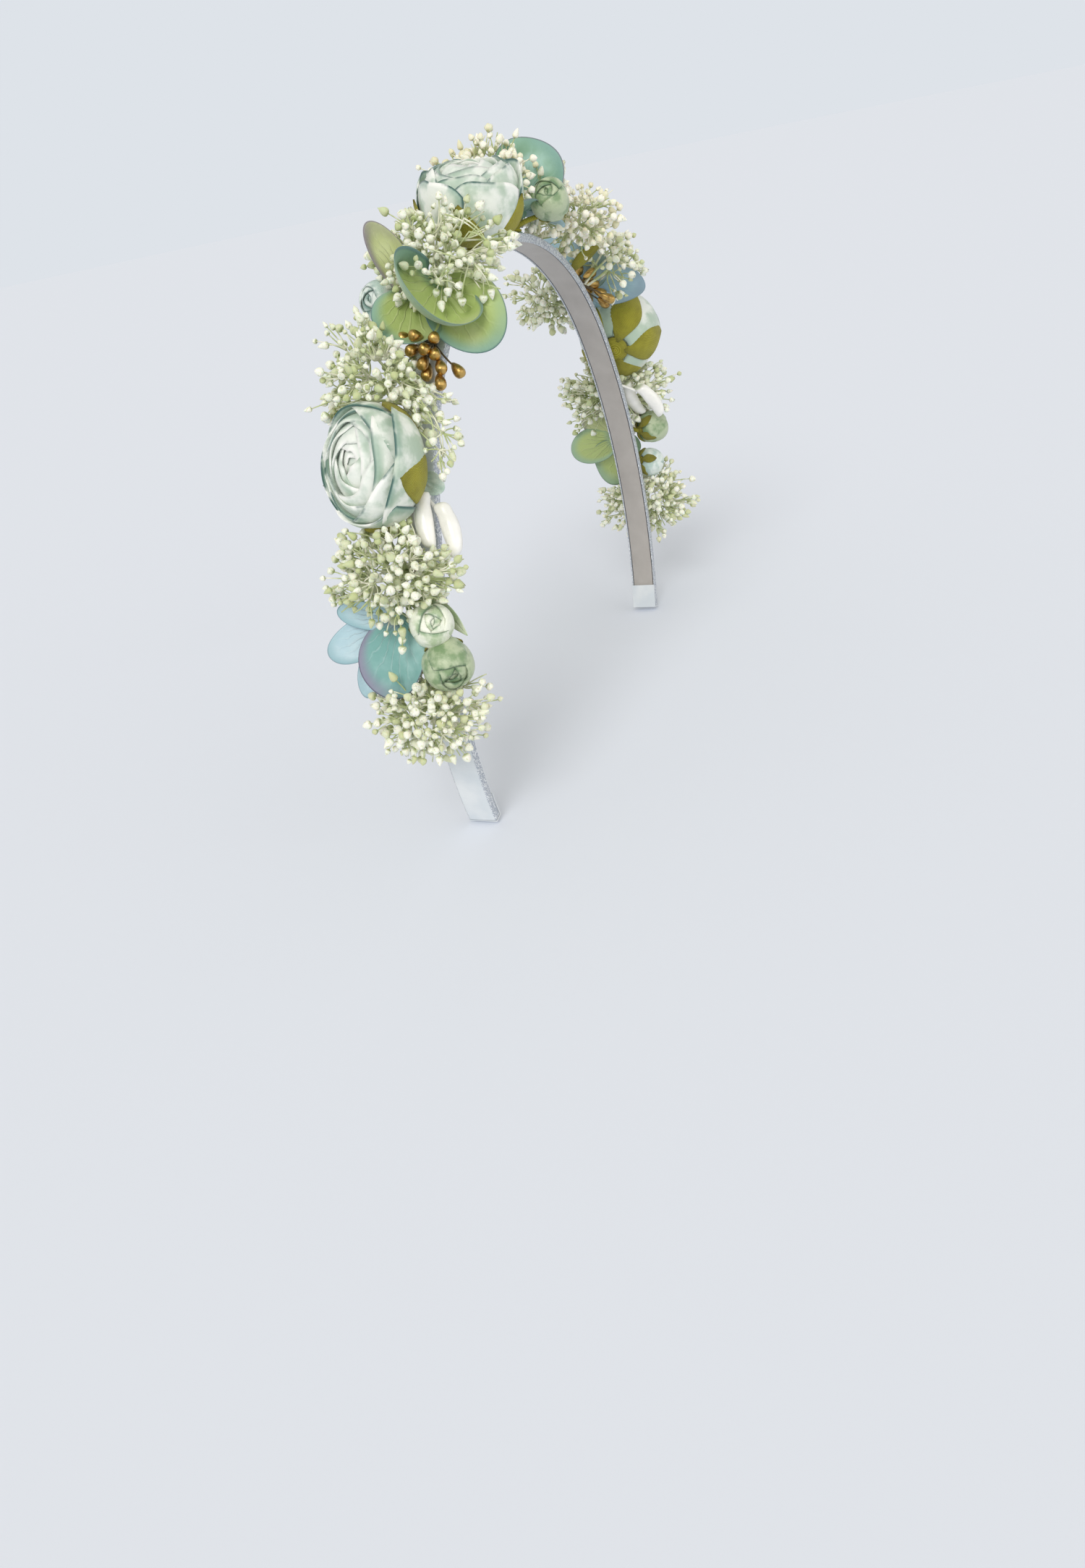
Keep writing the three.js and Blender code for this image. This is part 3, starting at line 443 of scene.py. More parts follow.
def arch_point(angle, height):
    """x and z at a height over the inner face, by the angle from the crown."""
    swing = abs(angle)
    turned = min(swing, CROWN_SWEEP)
    x, z = 0, -CROWN_RADIUS * math.cos(CROWN_SWEEP / CROWN_FACETS)
    radius = CROWN_RADIUS
    if swing > CROWN_SWEEP:
        x -= (SIDE_RADIUS - CROWN_RADIUS) * math.sin(turned)
        z -= (SIDE_RADIUS - CROWN_RADIUS) * math.cos(turned)
        radius = SIDE_RADIUS
    x += (radius + height) * math.sin(swing)
    z += (radius + height) * math.cos(swing)
    return math.copysign(x, angle), z


CROWN_ARC = CROWN_RADIUS * CROWN_SWEEP
REACH = CROWN_ARC + SIDE_RADIUS * SIDE_SWEEP - BARE_END
TIP_ANGLE = CROWN_SWEEP + SIDE_SWEEP


def angle_at(station):
    distance = abs(station)
    within = min(distance, CROWN_ARC) / CROWN_RADIUS
    beyond = max(distance - CROWN_ARC, 0) / SIDE_RADIUS
    return math.copysign(within + beyond, station)


def turning(axis, degrees):
    """A 3x3 turn about an axis, 0 for X, 1 for Y and 2 for Z."""
    cosine, sine = math.cos(math.radians(degrees)), math.sin(math.radians(degrees))
    a, b = (axis + 1) % 3, (axis + 2) % 3
    turn = np.eye(3)
    turn[a, a] = turn[b, b] = cosine
    turn[a, b] = -sine
    turn[b, a] = sine
    return turn


def placing(turn, place):
    matrix = np.eye(4)
    matrix[:3, :3] = turn
    matrix[:3, 3] = place
    return matrix


def moved(points, matrix):
    return np.asarray(points) @ matrix[:3, :3].T + matrix[:3, 3]


def seat_at(share):
    """The frame on the ribbon's outer face: x along the band, y to the back and z outwards."""
    angle = angle_at(share * REACH)
    x, z = arch_point(angle, BAND_THICKNESS)
    return placing(turning(1, math.degrees(angle)), (x, 0, z))


def posed(root, turn, lift, roll=0):
    return placing(turning(2, turn) @ turning(1, -lift) @ turning(0, roll), root)


def foot_of(foot):
    return np.array([foot[0] * BAND_WIDTH, foot[1] * BAND_WIDTH, SEAT_GAP])


# Meshes


class Skin:
    """The points, faces and point values of one piece, gathered from many small closed forms."""

    NAMES = ("along", "across", "edge", "seed", "under", "tint")

    def __init__(self):
        self.points, self.quads, self.triangles = [], [], []
        self.values = {name: [] for name in self.NAMES}
        self.count = 0

    def add(self, points, quads=(), triangles=(), **values):
        points = np.asarray(points, float).reshape(-1, 3)
        for faces, kept, corners in ((quads, self.quads, 4), (triangles, self.triangles, 3)):
            if len(faces):
                kept.append(np.asarray(faces, int).reshape(-1, corners) + self.count)
        for name in self.NAMES:
            value = np.broadcast_to(np.asarray(values.get(name, 0), float), (len(points),))
            self.values[name].append(value)
        self.points.append(points)
        self.count += len(points)

    def make(self, name, material, slot, *nodes, sharp=None):
        points = np.concatenate(self.points)
        groups = [np.concatenate(group) for group in (self.quads, self.triangles) if group]
        corners = np.concatenate([group.ravel() for group in groups])
        sizes = np.concatenate([np.full(len(group), group.shape[1]) for group in groups])
        mesh = bpy.data.meshes.new(name)
        mesh.vertices.add(len(points))
        mesh.vertices.foreach_set("co", (points * MM).astype(np.float32).ravel())
        mesh.loops.add(len(corners))
        mesh.loops.foreach_set("vertex_index", corners.astype(np.int32))
        mesh.polygons.add(len(sizes))
        mesh.polygons.foreach_set("loop_start", (np.cumsum(sizes) - sizes).astype(np.int32))
        mesh.update(calc_edges=True)
        mesh.validate()
        mesh.polygons.foreach_set("use_smooth", np.ones(len(sizes), bool))
        for channel in self.NAMES:
            attribute = mesh.attributes.new(channel, "FLOAT", "POINT")
            value = np.concatenate(self.values[channel])
            attribute.data.foreach_set("value", value.astype(np.float32))
        if sharp is not None:
            mesh.set_sharp_from_angle(angle=math.radians(sharp))
        mesh.materials.append(material)
        piece = bpy.data.objects.new(name, mesh)
        bpy.context.scene.collection.objects.link(piece)
        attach(piece, BODY)
        if nodes:
            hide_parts(*nodes)
        return piece


def grid(columns, rows):
    """Across from -1 to 1 and along from 0 to 1."""
    return np.meshgrid(np.linspace(-1, 1, columns), np.linspace(0, 1, rows), indexing="ij")


def unit(vectors):
    length = np.linalg.norm(vectors, axis=-1, keepdims=True)
    return vectors / np.maximum(length, 1e-9)


def add_sheet(skin, surface, thickness, matrix, edge, seed, tint=0, filling=0):
    """A thin closed sheet round a surface of columns x rows points, thinner at its free edges.

    Filling is how much thicker its under side grows away from them.
    """
    columns, rows = surface.shape[:2]
    across, along = grid(columns, rows)
    normal = unit(np.cross(np.gradient(surface, axis=0), np.gradient(surface, axis=1)))
    thin = EDGE_SHARE + REST_SHARE * np.sqrt(np.clip(edge / (EDGE_TAPER * thickness), 0, 1))
    offset = normal * (thickness / 2 * thin)[..., None]
    start, run = FILLING_RUN
    inner = offset + normal * (filling * np.clip((edge - start) / run, 0, 1))[..., None]
    index = np.arange(columns * rows).reshape(columns, rows)
    count = columns * rows
    a, b, c, d = index[:-1, :-1], index[1:, :-1], index[1:, 1:], index[:-1, 1:]
    top = np.stack([a, b, c, d], -1).reshape(-1, 4)
    border = np.concatenate([index[:-1, 0], index[-1, :-1], index[:0:-1, -1], index[0, :0:-1]])
    ahead = np.roll(border, -1)
    rim = np.stack([border + count, ahead + count, ahead, border], -1)
    quads = np.concatenate([top, top[:, ::-1] + count, rim])
    points = np.concatenate([(surface + offset).reshape(-1, 3), (surface - inner).reshape(-1, 3)])
    skin.add(
        moved(points, matrix),
        quads,
        along=np.tile(along.ravel(), 2),
        across=np.tile(across.ravel(), 2),
        edge=np.tile(edge.ravel(), 2),
        seed=seed,
        under=np.repeat([0, 1], count),
        tint=tint,
    )


def ball_faces(sides, rings):
    """Faces of a ball of rings between two poles: pole 0, the rings' points, then the last pole."""
    ring = 1 + np.arange(rings * sides).reshape(rings, sides)
    ahead = np.roll(ring, -1, axis=1)
    quads = np.stack([ring[:-1], ahead[:-1], ahead[1:], ring[1:]], -1).reshape(-1, 4)
    last = rings * sides + 1
    low = np.stack([np.zeros(sides, int), ahead[0], ring[0]], -1)
    high = np.stack([np.full(sides, last), ring[-1], ahead[-1]], -1)
    return quads, np.concatenate([low, high])


def ball_grid(sides, rings):
    """Turn and along, from 0 to 1, for the points that ball_faces joins."""
    turn = np.tile(np.arange(sides) / sides, rings)
    along = np.repeat((1 + np.arange(rings)) / (rings + 1), sides)
    return np.concatenate([[0], turn, [0]]), np.concatenate([[0], along, [1]])


def add_round(skin, matrix, sides, rings, shape, **values):
    """A closed form of revolution with relief: shape(turn, along) gives flat and up."""
    turn, along = ball_grid(sides, rings)
    flat, up = shape(turn, along)
    angle = 2 * math.pi * turn
    points = np.stack([flat * np.cos(angle), flat * np.sin(angle), up], -1)
    quads, triangles = ball_faces(sides, rings)
    skin.add(moved(points, matrix), quads, triangles, **{"along": along, **values})


def add_tubes(skin, paths, radii, sides):
    """Round tubes along many paths of as many points each, closed at both ends."""
    paths = np.asarray(paths, float)
    tubes, steps = paths.shape[:2]
    tangent = unit(np.gradient(paths, axis=1))
    mean = np.abs(tangent.mean(axis=1))
    reference = np.eye(3)[np.argmin(mean, axis=1)][:, None, :]
    side = unit(np.cross(tangent, np.broadcast_to(reference, tangent.shape)))
    other = np.cross(tangent, side)
    angle = 2 * math.pi * np.arange(sides) / sides
    circle = np.cos(angle)[:, None] * side[:, :, None, :] + np.sin(angle)[:, None] * other[:, :, None, :]
    rings = paths[:, :, None, :] + circle * np.broadcast_to(radii, (tubes, steps))[:, :, None, None]
    points = np.concatenate([paths[:, :1], rings.reshape(tubes, -1, 3), paths[:, -1:]], axis=1)
    quads, triangles = ball_faces(sides, steps)
    shift = (np.arange(tubes) * (steps * sides + 2))[:, None, None]
    along = np.concatenate([[0], np.repeat(np.linspace(0, 1, steps), sides), [1]])
    skin.add(
        points.reshape(-1, 3),
        (quads[None] + shift).reshape(-1, 4),
        (triangles[None] + shift).reshape(-1, 3),
        along=np.tile(along, tubes),
    )


def curve_through(start, middle, end, steps=TWIG_STEPS):
    """Points of smooth bends from starts to ends, pulled towards their middles."""
    t = np.linspace(0, 1, steps)[:, None]
    start, middle, end = (np.asarray(p, float)[..., None, :] for p in (start, middle, end))
    return start * (1 - t) ** 2 + 2 * middle * t * (1 - t) + end * t**2


# Materials


def linear(hexadecimal):
    """A colour as the eye sees it, in the shader's linear values."""
    channels = [((hexadecimal >> shift) & 255) / 255 for shift in (16, 8, 0)]
    bent = [c / 12.92 if c <= 0.04045 else ((c + 0.055) / 1.055) ** 2.4 for c in channels]
    return (*bent, 1)


class Paint:
    """A material and short ways to add nodes to it."""

    def __init__(self, name, roughness, **sockets):
        self.material = bpy.data.materials.new(name)
        self.material.use_nodes = True
        self.nodes = self.material.node_tree.nodes
        self.links = self.material.node_tree.links
        self.shader = self.nodes["Principled BSDF"]
        self.shader.inputs["Roughness"].default_value = roughness
        for socket, value in sockets.items():
            self.shader.inputs[socket.replace("_", " ")].default_value = value
        self.place = self.node("ShaderNodeTexCoord").outputs["Object"]

    def node(self, kind, inputs=(), **settings):
        made = self.nodes.new(kind)
        for name, value in settings.items():
            setattr(made, name, value)
        for key, value in dict(inputs).items():
            if isinstance(value, bpy.types.NodeSocket):
                self.links.new(value, made.inputs[key])
            else:
                made.inputs[key].default_value = value
        return made

    def value(self, name):
        return self.node("ShaderNodeAttribute", attribute_name=name).outputs["Fac"]

    def sum(self, operation, a, b=0.0):
        return self.node("ShaderNodeMath", {0: a, 1: b}, operation=operation).outputs[0]

    def times(self, a, b):
        return self.sum("MULTIPLY", a, b)

    def step(self, value, low, high):
        """0 below low, 1 above high and smooth between them; low may be the greater one."""
        inputs = {"Value": value, "From Min": low, "From Max": high}
        return self.node("ShaderNodeMapRange", inputs, interpolation_type="SMOOTHSTEP").outputs["Result"]

    def noise(self, size, detail=3.0, stretch=None, seed=None):
        """Noise from 0 to 1 with features of a size in millimetres."""
        place = self.place
        if stretch is not None:
            place = self.node("ShaderNodeMapping", {"Vector": place, "Scale": stretch}).outputs[0]
        inputs = {"Vector": place, "Scale": 1 / (size * MM), "Detail": detail}
        if seed is None:
            return self.node("ShaderNodeTexNoise", inputs).outputs["Fac"]
        inputs["W"] = self.times(seed, NOISE_SEEDS)
        return self.node("ShaderNodeTexNoise", inputs, noise_dimensions="4D").outputs["Fac"]

    def mix(self, factor, a, b):
        """Colour a turning into colour b by a factor; each is a number in hexadecimals or a socket."""
        a, b = (linear(colour) if isinstance(colour, int) else colour for colour in (a, b))
        return self.node("ShaderNodeMix", {0: factor, 6: a, 7: b}, data_type="RGBA").outputs[2]

    def weave(self, size):
        """A fine diagonal cloth weave from 0 to 1."""
        threads = []
        for direction in ("X", "Y", "Z"):
            inputs = {"Vector": self.place, "Scale": 1 / (size * MM * math.pi)}
            wave = self.node("ShaderNodeTexWave", inputs, bands_direction=direction)
            threads.append(wave.outputs["Fac"])
        pair = self.times(threads[0], threads[1])
        return self.sum("ADD", pair, self.times(threads[2], 0.5))

    def bump(self, *layers):
        """Bumps from (height, depth in millimetres) pairs."""
        normal = None
        for height, depth in layers:
            inputs = {"Height": height, "Distance": depth * MM, "Strength": 1.0}
            if normal is not None:
                inputs["Normal"] = normal
            normal = self.node("ShaderNodeBump", inputs).outputs["Normal"]
        self.links.new(normal, self.shader.inputs["Normal"])

    def finish(self, colour, roughness=None):
        self.links.new(colour, self.shader.inputs["Base Color"])
        if roughness is not None:
            self.links.new(roughness, self.shader.inputs["Roughness"])
        return self.material


def ribs(paint):
    """Fine ribs across the band, from -1 to 1."""
    return paint.sum("SINE", paint.times(paint.value("along"), 2 * math.pi / RIB_SPACING))


def satin():
    """Pale blue-grey ribbon with fine ribs across it and a woven edge, speckled with painted glints."""
    paint = Paint("satin", 0.4, Anisotropic=0.5, Sheen_Weight=0.35, Sheen_Roughness=0.3)
    patches = paint.step(paint.noise(9, 2), 0.35, 0.65)
    cloth = paint.mix(patches, 0xD3DAE0, 0xE2E6E9)
    selvedge = paint.step(paint.value("across"), 0.86, 0.97)
    sparkle = paint.step(paint.noise(0.35, 2), 0.42, 0.62)
    # The selvedge's colour: the woven edge speckled with painted glints.
    glinting_edge = paint.mix(sparkle, 0xA9B1BE, 0xE9EDF2)
    paint.bump((ribs(paint), 0.012), (paint.times(sparkle, selvedge), 0.1), (paint.noise(2.5, 3), 0.1))
    return paint.finish(paint.mix(selvedge, cloth, glinting_edge))


def lining():
    """Grey-brown ribbon on the inside of the band, its tone darkened with painted shade."""
    paint = Paint("lining", 0.6, Sheen_Weight=0.2)
    # Painted shade: two grey-brown tones for the band's shaded inside, mixed in random patches.
    cloth = paint.mix(paint.noise(6, 3), 0xA39D98, 0xBDB8B3)
    paint.bump((ribs(paint), 0.012), (paint.noise(0.3, 2), 0.02))
    return paint.finish(cloth)


def steel():
    """Spring steel with fine scratches along it."""
    paint = Paint("steel", 0.35, Metallic=1.0)
    scratches = paint.noise(0.5, 4, stretch=(1, 12, 1))
    rough = paint.step(scratches, -0.6, 1.8)
    return paint.finish(paint.mix(scratches, 0x8F9294, 0xB3B5B7), rough)


def crossed_threads(paint):
    """Two sets of threads that cross on a leaf or sepal, from -1 to 1."""
    along = paint.value("along")
    across = paint.value("across")
    sets = []
    for lengthwise, crosswise in THREADS:
        long_turns = paint.times(along, lengthwise)
        turns = paint.sum("ADD", long_turns, paint.times(across, crosswise))
        sets.append(paint.sum("SINE", paint.times(turns, 2 * math.pi)))
    return paint.times(paint.sum("ADD", *sets), 0.5)


def sepal():
    """Olive cloth with a fine weave and paler threads."""
    paint = Paint("sepal", 0.75, Sheen_Weight=0.1, Sheen_Roughness=0.5)
    weave = crossed_threads(paint)
    blotches = paint.step(paint.noise(3.5, 3), 0.3, 0.7)
    cloth = paint.mix(blotches, 0x7F7A06, 0x99931C)
    threads = paint.mix(paint.step(weave, -0.1, 0.9), cloth, 0xBDB745)
    paint.bump((weave, 0.06), (paint.noise(1.2, 3), 0.08))
    return paint.finish(threads)


def ranunculus_petal():
    """Silvery white silk, washed with green towards the rims, some of which are dark teal; a painted
    highlight runs along the rims and painted shade lies deep in the flower.
    """
    paint = Paint("ranunculus_petal", 0.5, Sheen_Weight=0.4, Sheen_Roughness=0.35)
    seed = paint.value("seed")
    edge = paint.value("edge")
    cloudy = paint.noise(5, 4, seed=seed)
    patchy = paint.noise(6, 3, seed=paint.sum("ADD", seed, 1.0))
    tint = paint.value("tint")
    silk = paint.mix(paint.step(cloudy, 0.42, 0.68), 0xECF0E9, 0xCBD8CE)
    # Painted highlight along the petals' rims.
    silk = paint.mix(paint.step(edge, 1.2, 0.2), silk, 0xFAFAF6)
    outer = paint.times(tint, paint.step(cloudy, 0.42, 0.6))
    silk = paint.mix(paint.times(outer, 0.65), silk, 0xA3BBA2)
    wash = paint.times(paint.step(patchy, 0.48, 0.64), paint.step(edge, 4.2, 0.6))
    silk = paint.mix(paint.times(wash, 0.7), silk, 0x8AAA8E)
    # Painted shade deep in the flower, towards the petals' bases.
    deep = paint.sum("ADD", paint.value("along"), paint.times(cloudy, 0.4))
    silk = paint.mix(paint.step(deep, 0.7, 0.35), silk, 0xB4C8B4)
    halo = paint.times(paint.step(patchy, 0.42, 0.58), paint.step(edge, 2.6, 0.3))
    silk = paint.mix(paint.times(halo, paint.times(tint, 0.6)), silk, 0x7A9C90)
    rims = paint.times(paint.step(patchy, 0.42, 0.54), paint.step(edge, 0.75, 0.15))
    silk = paint.mix(paint.times(rims, tint), silk, 0x41665F)
    paint.bump((paint.noise(0.22, 2), 0.03), (paint.noise(2.2, 3), 0.2))
    return paint.finish(silk)


def rosebud(name, light, middle, dark, rim):
    """Pearly ribbed ribbon petals with painted shade in the creases, and dark rim lines that are partly
    the dyed edge and partly painted crease shade.
    """
    paint = Paint(name, 0.4, Sheen_Weight=0.4, Sheen_Roughness=0.3, Coat_Weight=0.15, Coat_Roughness=0.3)
    seed = paint.value("seed")
    edge = paint.value("edge")
    patchy = paint.noise(3.5, 3, seed=seed)
    silk = paint.mix(paint.step(patchy, 0.42, 0.62), light, middle)
    # Painted shade in the creases, next to the petals' edges.
    shade = paint.times(paint.step(patchy, 0.46, 0.58), paint.step(edge, 1.2, 0.2))
    silk = paint.mix(paint.times(shade, 0.7), silk, dark)
    silk = paint.mix(paint.step(paint.value("along"), 0.3, 0.08), silk, middle)
    # Dark rim lines: partly the dyed edge, partly painted shade in the creases.
    rims = paint.times(paint.step(patchy, 0.36, 0.5), paint.step(edge, 0.36, 0.1))
    silk = paint.mix(paint.times(rims, 0.6), silk, rim)
    ribs = paint.weave(0.3)
    paint.bump((ribs, 0.04), (paint.noise(1.3, 2), 0.1))
    return paint.finish(silk)


def vein_lines(paint):
    """Thin lines that fan out from a petal's base, from 0 to 1."""
    waver = paint.times(paint.noise(5, 3), 0.3)
    turn = paint.times(paint.sum("ADD", paint.value("across"), waver), VEIN_COUNT * math.pi)
    lines = paint.step(paint.sum("ABSOLUTE", paint.sum("SINE", turn)), 0.45, 0.0)
    return paint.times(lines, paint.step(paint.value("along"), 1.0, 0.55))


def floret_petal(name, tones):
    """A thin petal with painted highlights in cloudy patches, pale fanned veins, a blush along parts of
    its rim and a thin edge line.

    Of each pair of tones, the second is that of the petals with a tint.
    """
    paint = Paint(name, 0.6, Sheen_Weight=0.25, Sheen_Roughness=0.4)
    seed = paint.value("seed")
    edge = paint.value("edge")
    tint = paint.value("tint")
    body, highlight_and_vein_tone, blush, rim = (paint.mix(tint, *pair) for pair in tones)
    cloudy = paint.noise(8, 3, seed=seed)
    # Painted highlights in cloudy patches.
    flesh = paint.mix(paint.times(paint.step(cloudy, 0.42, 0.72), 0.8), body, highlight_and_vein_tone)
    veins = vein_lines(paint)
    flesh = paint.mix(paint.times(veins, 0.5), flesh, highlight_and_vein_tone)
    patchy = paint.noise(12, 2, seed=paint.sum("ADD", seed, 1.0))
    hand = paint.sum("SUBTRACT", 1.0, paint.times(tint, 2.0))
    side = paint.times(paint.value("across"), hand)
    side = paint.step(paint.sum("ADD", side, paint.times(patchy, 1.2)), 0.1, 0.8)
    under = paint.value("under")
    side = paint.sum("MAXIMUM", side, under)
    blushing = paint.times(side, paint.step(edge, 4.6, 0.3))
    flesh = paint.mix(paint.times(blushing, 0.85), flesh, blush)
    flesh = paint.mix(paint.times(paint.step(edge, 0.4, 0.1), 0.75), flesh, rim)
    flesh = paint.mix(paint.times(under, 0.25), flesh, highlight_and_vein_tone)
    paint.bump((veins, 0.12), (paint.noise(0.5, 3), 0.04), (paint.noise(3, 3), 0.2))
    return paint.finish(flesh)


def pip():
    """The little bead in the middle of a floret."""
    paint = Paint("pip", 0.5, Sheen_Weight=0.2)
    bead = paint.mix(paint.noise(0.8, 3), 0xC3D0A2, 0xE6EACB)
    paint.bump((paint.noise(0.3, 2), 0.06))
    return paint.finish(bead)


def seed_head():
    """Buds from green to cream by their spray's warmth, greener at the stem and at random."""
    paint = Paint("seed_head", 0.62, Sheen_Weight=0.25, Subsurface_Weight=0.12, Subsurface_Scale=0.0008)
    seed = paint.value("seed")
    warm = paint.value("tint")
    light = paint.mix(warm, 0xF4F6E8, 0xFDFAEC)
    green = paint.mix(warm, 0xB4C283, 0xEAE5C6)
    bud = paint.mix(paint.step(seed, 0.35, 1.05), light, green)
    bud = paint.mix(paint.step(paint.noise(0.6, 3), 0.52, 0.75), bud, green)
    base = paint.mix(warm, 0x94A660, 0xCBC99C)
    bud = paint.mix(paint.step(paint.value("along"), 0.36, 0.04), bud, base)
    tips = paint.times(paint.step(paint.value("along"), 0.93, 1.0), 0.3)
    bud = paint.mix(tips, bud, 0xC9C094)
    paint.bump((paint.noise(0.35, 3), 0.09))
    return paint.finish(bud)


def twig():
    """Wiry cream stems that turn green towards the glue."""
    paint = Paint("twig", 0.6, Sheen_Weight=0.1)
    stalk = paint.mix(paint.step(paint.noise(4, 2), 0.36, 0.56), 0xEFEEDB, 0xB9C48E)
    paint.bump((paint.noise(0.4, 2), 0.04))
    return paint.finish(stalk)


def gilt():
    """Bronze-gold lacquer, darker in random patches."""
    paint = Paint("gilt", 0.25, Metallic=0.95, Coat_Weight=0.4, Coat_Roughness=0.1)
    patches = paint.step(paint.noise(1.4, 3), 0.4, 0.75)
    gold = paint.mix(patches, 0xC9A55C, 0x86622A)
    rough = paint.step(paint.noise(0.5, 2), -1.2, 3.2)
    paint.bump((paint.noise(0.6, 3), 0.08))
    return paint.finish(gold, rough)


def wire():
    """Dark paper-covered wire of the stamens."""
    paint = Paint("wire", 0.7)
    paint.bump((paint.noise(0.3, 2), 0.03))
    return paint.finish(paint.mix(paint.noise(0.9, 3), 0x3A3426, 0x6A5A38))


def pearl():
    """White clay with a pearly coat."""
    paint = Paint("pearl", 0.3, Coat_Weight=0.6, Coat_Roughness=0.12, Sheen_Weight=0.2)
    tint = paint.mix(paint.step(paint.noise(4, 3), 0.3, 0.7), 0xFFFDF8, 0xEFEEE9)
    base = paint.step(paint.value("along"), 0.16, 0.0)
    paint.bump((paint.noise(1.6, 3), 0.12), (paint.noise(0.3, 2), 0.01))
    return paint.finish(paint.mix(base, tint, 0xB9C4A4))


def leaf(name, light, dark):
    """Woven cloth leaf with painted shade along its midrib."""
    paint = Paint(name, 0.65, Sheen_Weight=0.3, Sheen_Roughness=0.4)
    weave = paint.weave(0.4)
    cloth = paint.mix(paint.step(paint.noise(3, 3), 0.3, 0.7), light, dark)
    middle = paint.sum("ABSOLUTE", paint.value("across"))
    # Painted shade along the midrib.
    cloth = paint.mix(paint.step(middle, 0.16, 0.0), cloth, dark)
    paint.bump((weave, 0.05), (paint.noise(2, 2), 0.1))
    return paint.finish(cloth)


SATIN = satin()
SHADED_LINING = lining()
SEPAL = sepal()
RANUNCULUS = ranunculus_petal()
# Light, middle, painted-shade and rim tones of each rosebud material; the rim tone is partly painted
# crease shade.
ROSEBUD_SAGE = rosebud("rosebud_sage", 0xF1F4E4, 0xB7C9A4, 0x7A9A74, 0x4F6F54)
ROSEBUD_DEEP = rosebud("rosebud_deep", 0xB9C6A4, 0x7F9A6F, 0x547550, 0x3F5C42)
ROSEBUD_DARK = rosebud("rosebud_dark", 0xE6EEE9, 0xB4CAC2, 0x3F6E63, 0x234C43)
# Body, painted highlight (also the tone of the pale veins), blush and rim of the florets, each in two
# tones
FLORET_TONES = {
    "hydrangea_teal": [
        (0x76A8A3, 0xB5D1DB), (0xA9CBC9, 0xCCE0E6), (0x8A819C, 0x8FB6BE), (0x594E64, 0x6D97A3)
    ],
    "sea_green": [
        (0x7CA486, 0xB5D1DB), (0xA6C9C0, 0xCCE0E6), (0x7EA69E, 0x8FB6BE), (0x716C7A, 0x6D97A3)
    ],
    "hydrangea_green": [
        (0xA8BB70, 0xB9C285), (0xC3CF92, 0xCFD6A8), (0x7DA69A, 0x938A97), (0x58797F, 0x7D7486)
    ],
    "hydrangea_blue": [
        (0x93BAC7, 0xA9C9CF), (0xBDD7E1, 0xC9DEE4), (0x94ACBD, 0x9DB8A6), (0x6D8C9B, 0x7A9A92)
    ],
}
FLORET_MATERIALS = {name: floret_petal(name, tones) for name, tones in FLORET_TONES.items()}
PIP = pip()
SEED_HEADS = seed_head()
TWIG = twig()
GILT = gilt()
WIRE = wire()
PEARL = pearl()
LEAF_MATERIALS = {
    "leaf_mint": leaf("leaf_mint", 0xDFE9CF, 0xB4C99F),
    "leaf_blue_green": leaf("leaf_blue_green", 0xDCEBE4, 0xBAD2C8),
    "olive_sepal": SEPAL,
}


# Band


def arch_path(reach, steps):
    """Angles from one end to the other, and the stations that they lie at."""
    angles = np.linspace(-reach, reach, steps)
    beyond = np.maximum(np.abs(angles) - CROWN_SWEEP, 0) * SIDE_RADIUS
    within = np.minimum(np.abs(angles), CROWN_SWEEP) * CROWN_RADIUS
    return angles, np.sign(angles) * (within + beyond)


def swept(outline, angles):
    """Points of an outline of (y, height) pairs carried along the arch."""
    points = np.empty((len(angles), len(outline), 3))
    for i, angle in enumerate(angles):
        for j, (y, height) in enumerate(outline):
            x, z = arch_point(angle, height)
            points[i, j] = (x, y, z)
    return points


def corner(y, height, start, radius):
    """Points of a rounded corner about a centre, from a start angle through a quarter turn."""
    turns = np.radians(start + np.linspace(0, 90, CORNER_STEPS))
    return [(y + radius * math.cos(t), height + radius * math.sin(t)) for t in turns]


def add_strip(skin, outline, angles, stations, edge_from):
    """A closed strip with an outline's section along the arch."""
    points = swept(outline, angles)
    steps, sides = points.shape[:2]
    index = np.arange(steps * sides).reshape(steps, sides)
    ahead = np.roll(index, -1, axis=1)
    quads = np.stack([index[:-1], index[1:], ahead[1:], ahead[:-1]], -1).reshape(-1, 4)
    middles = points[[0, -1]].mean(axis=1)
    first, last = steps * sides, steps * sides + 1
    start = np.stack([np.full(sides, first), index[0], ahead[0]], -1)
    end = np.stack([np.full(sides, last), ahead[-1], index[-1]], -1)
    along = np.concatenate([np.repeat(stations, sides), stations[[0, -1]]])
    across = np.concatenate([np.tile([abs(y) / edge_from for y, _ in outline], steps), [0, 0]])
    all_points = np.concatenate([points.reshape(-1, 3), middles])
    skin.add(all_points, quads, np.concatenate([start, end]), along=along, across=across)


def ribbon_outline():
    """Half of a flat U, closed: up the outside, over the top, and back on the inside."""
    half = BAND_WIDTH / 2
    inner_half = half - RIBBON_THICKNESS
    inner_top = BAND_THICKNESS - RIBBON_THICKNESS
    shares = np.linspace(TOP_SHARE, -TOP_SHARE, TOP_STEPS)
    top = [(half * share, BAND_THICKNESS + RIBBON_CROWN * (1 - share**2)) for share in shares]
    outline = [(half, 0)]
    outline += corner(half - CORNER_RADIUS, BAND_THICKNESS - CORNER_RADIUS, 0, CORNER_RADIUS)
    outline += top
    outline += corner(CORNER_RADIUS - half, BAND_THICKNESS - CORNER_RADIUS, 90, CORNER_RADIUS)
    outline += [(-half, 0), (-inner_half, 0), (-inner_half, inner_top)]
    outline += [(inner_half, inner_top), (inner_half, 0)]
    return outline


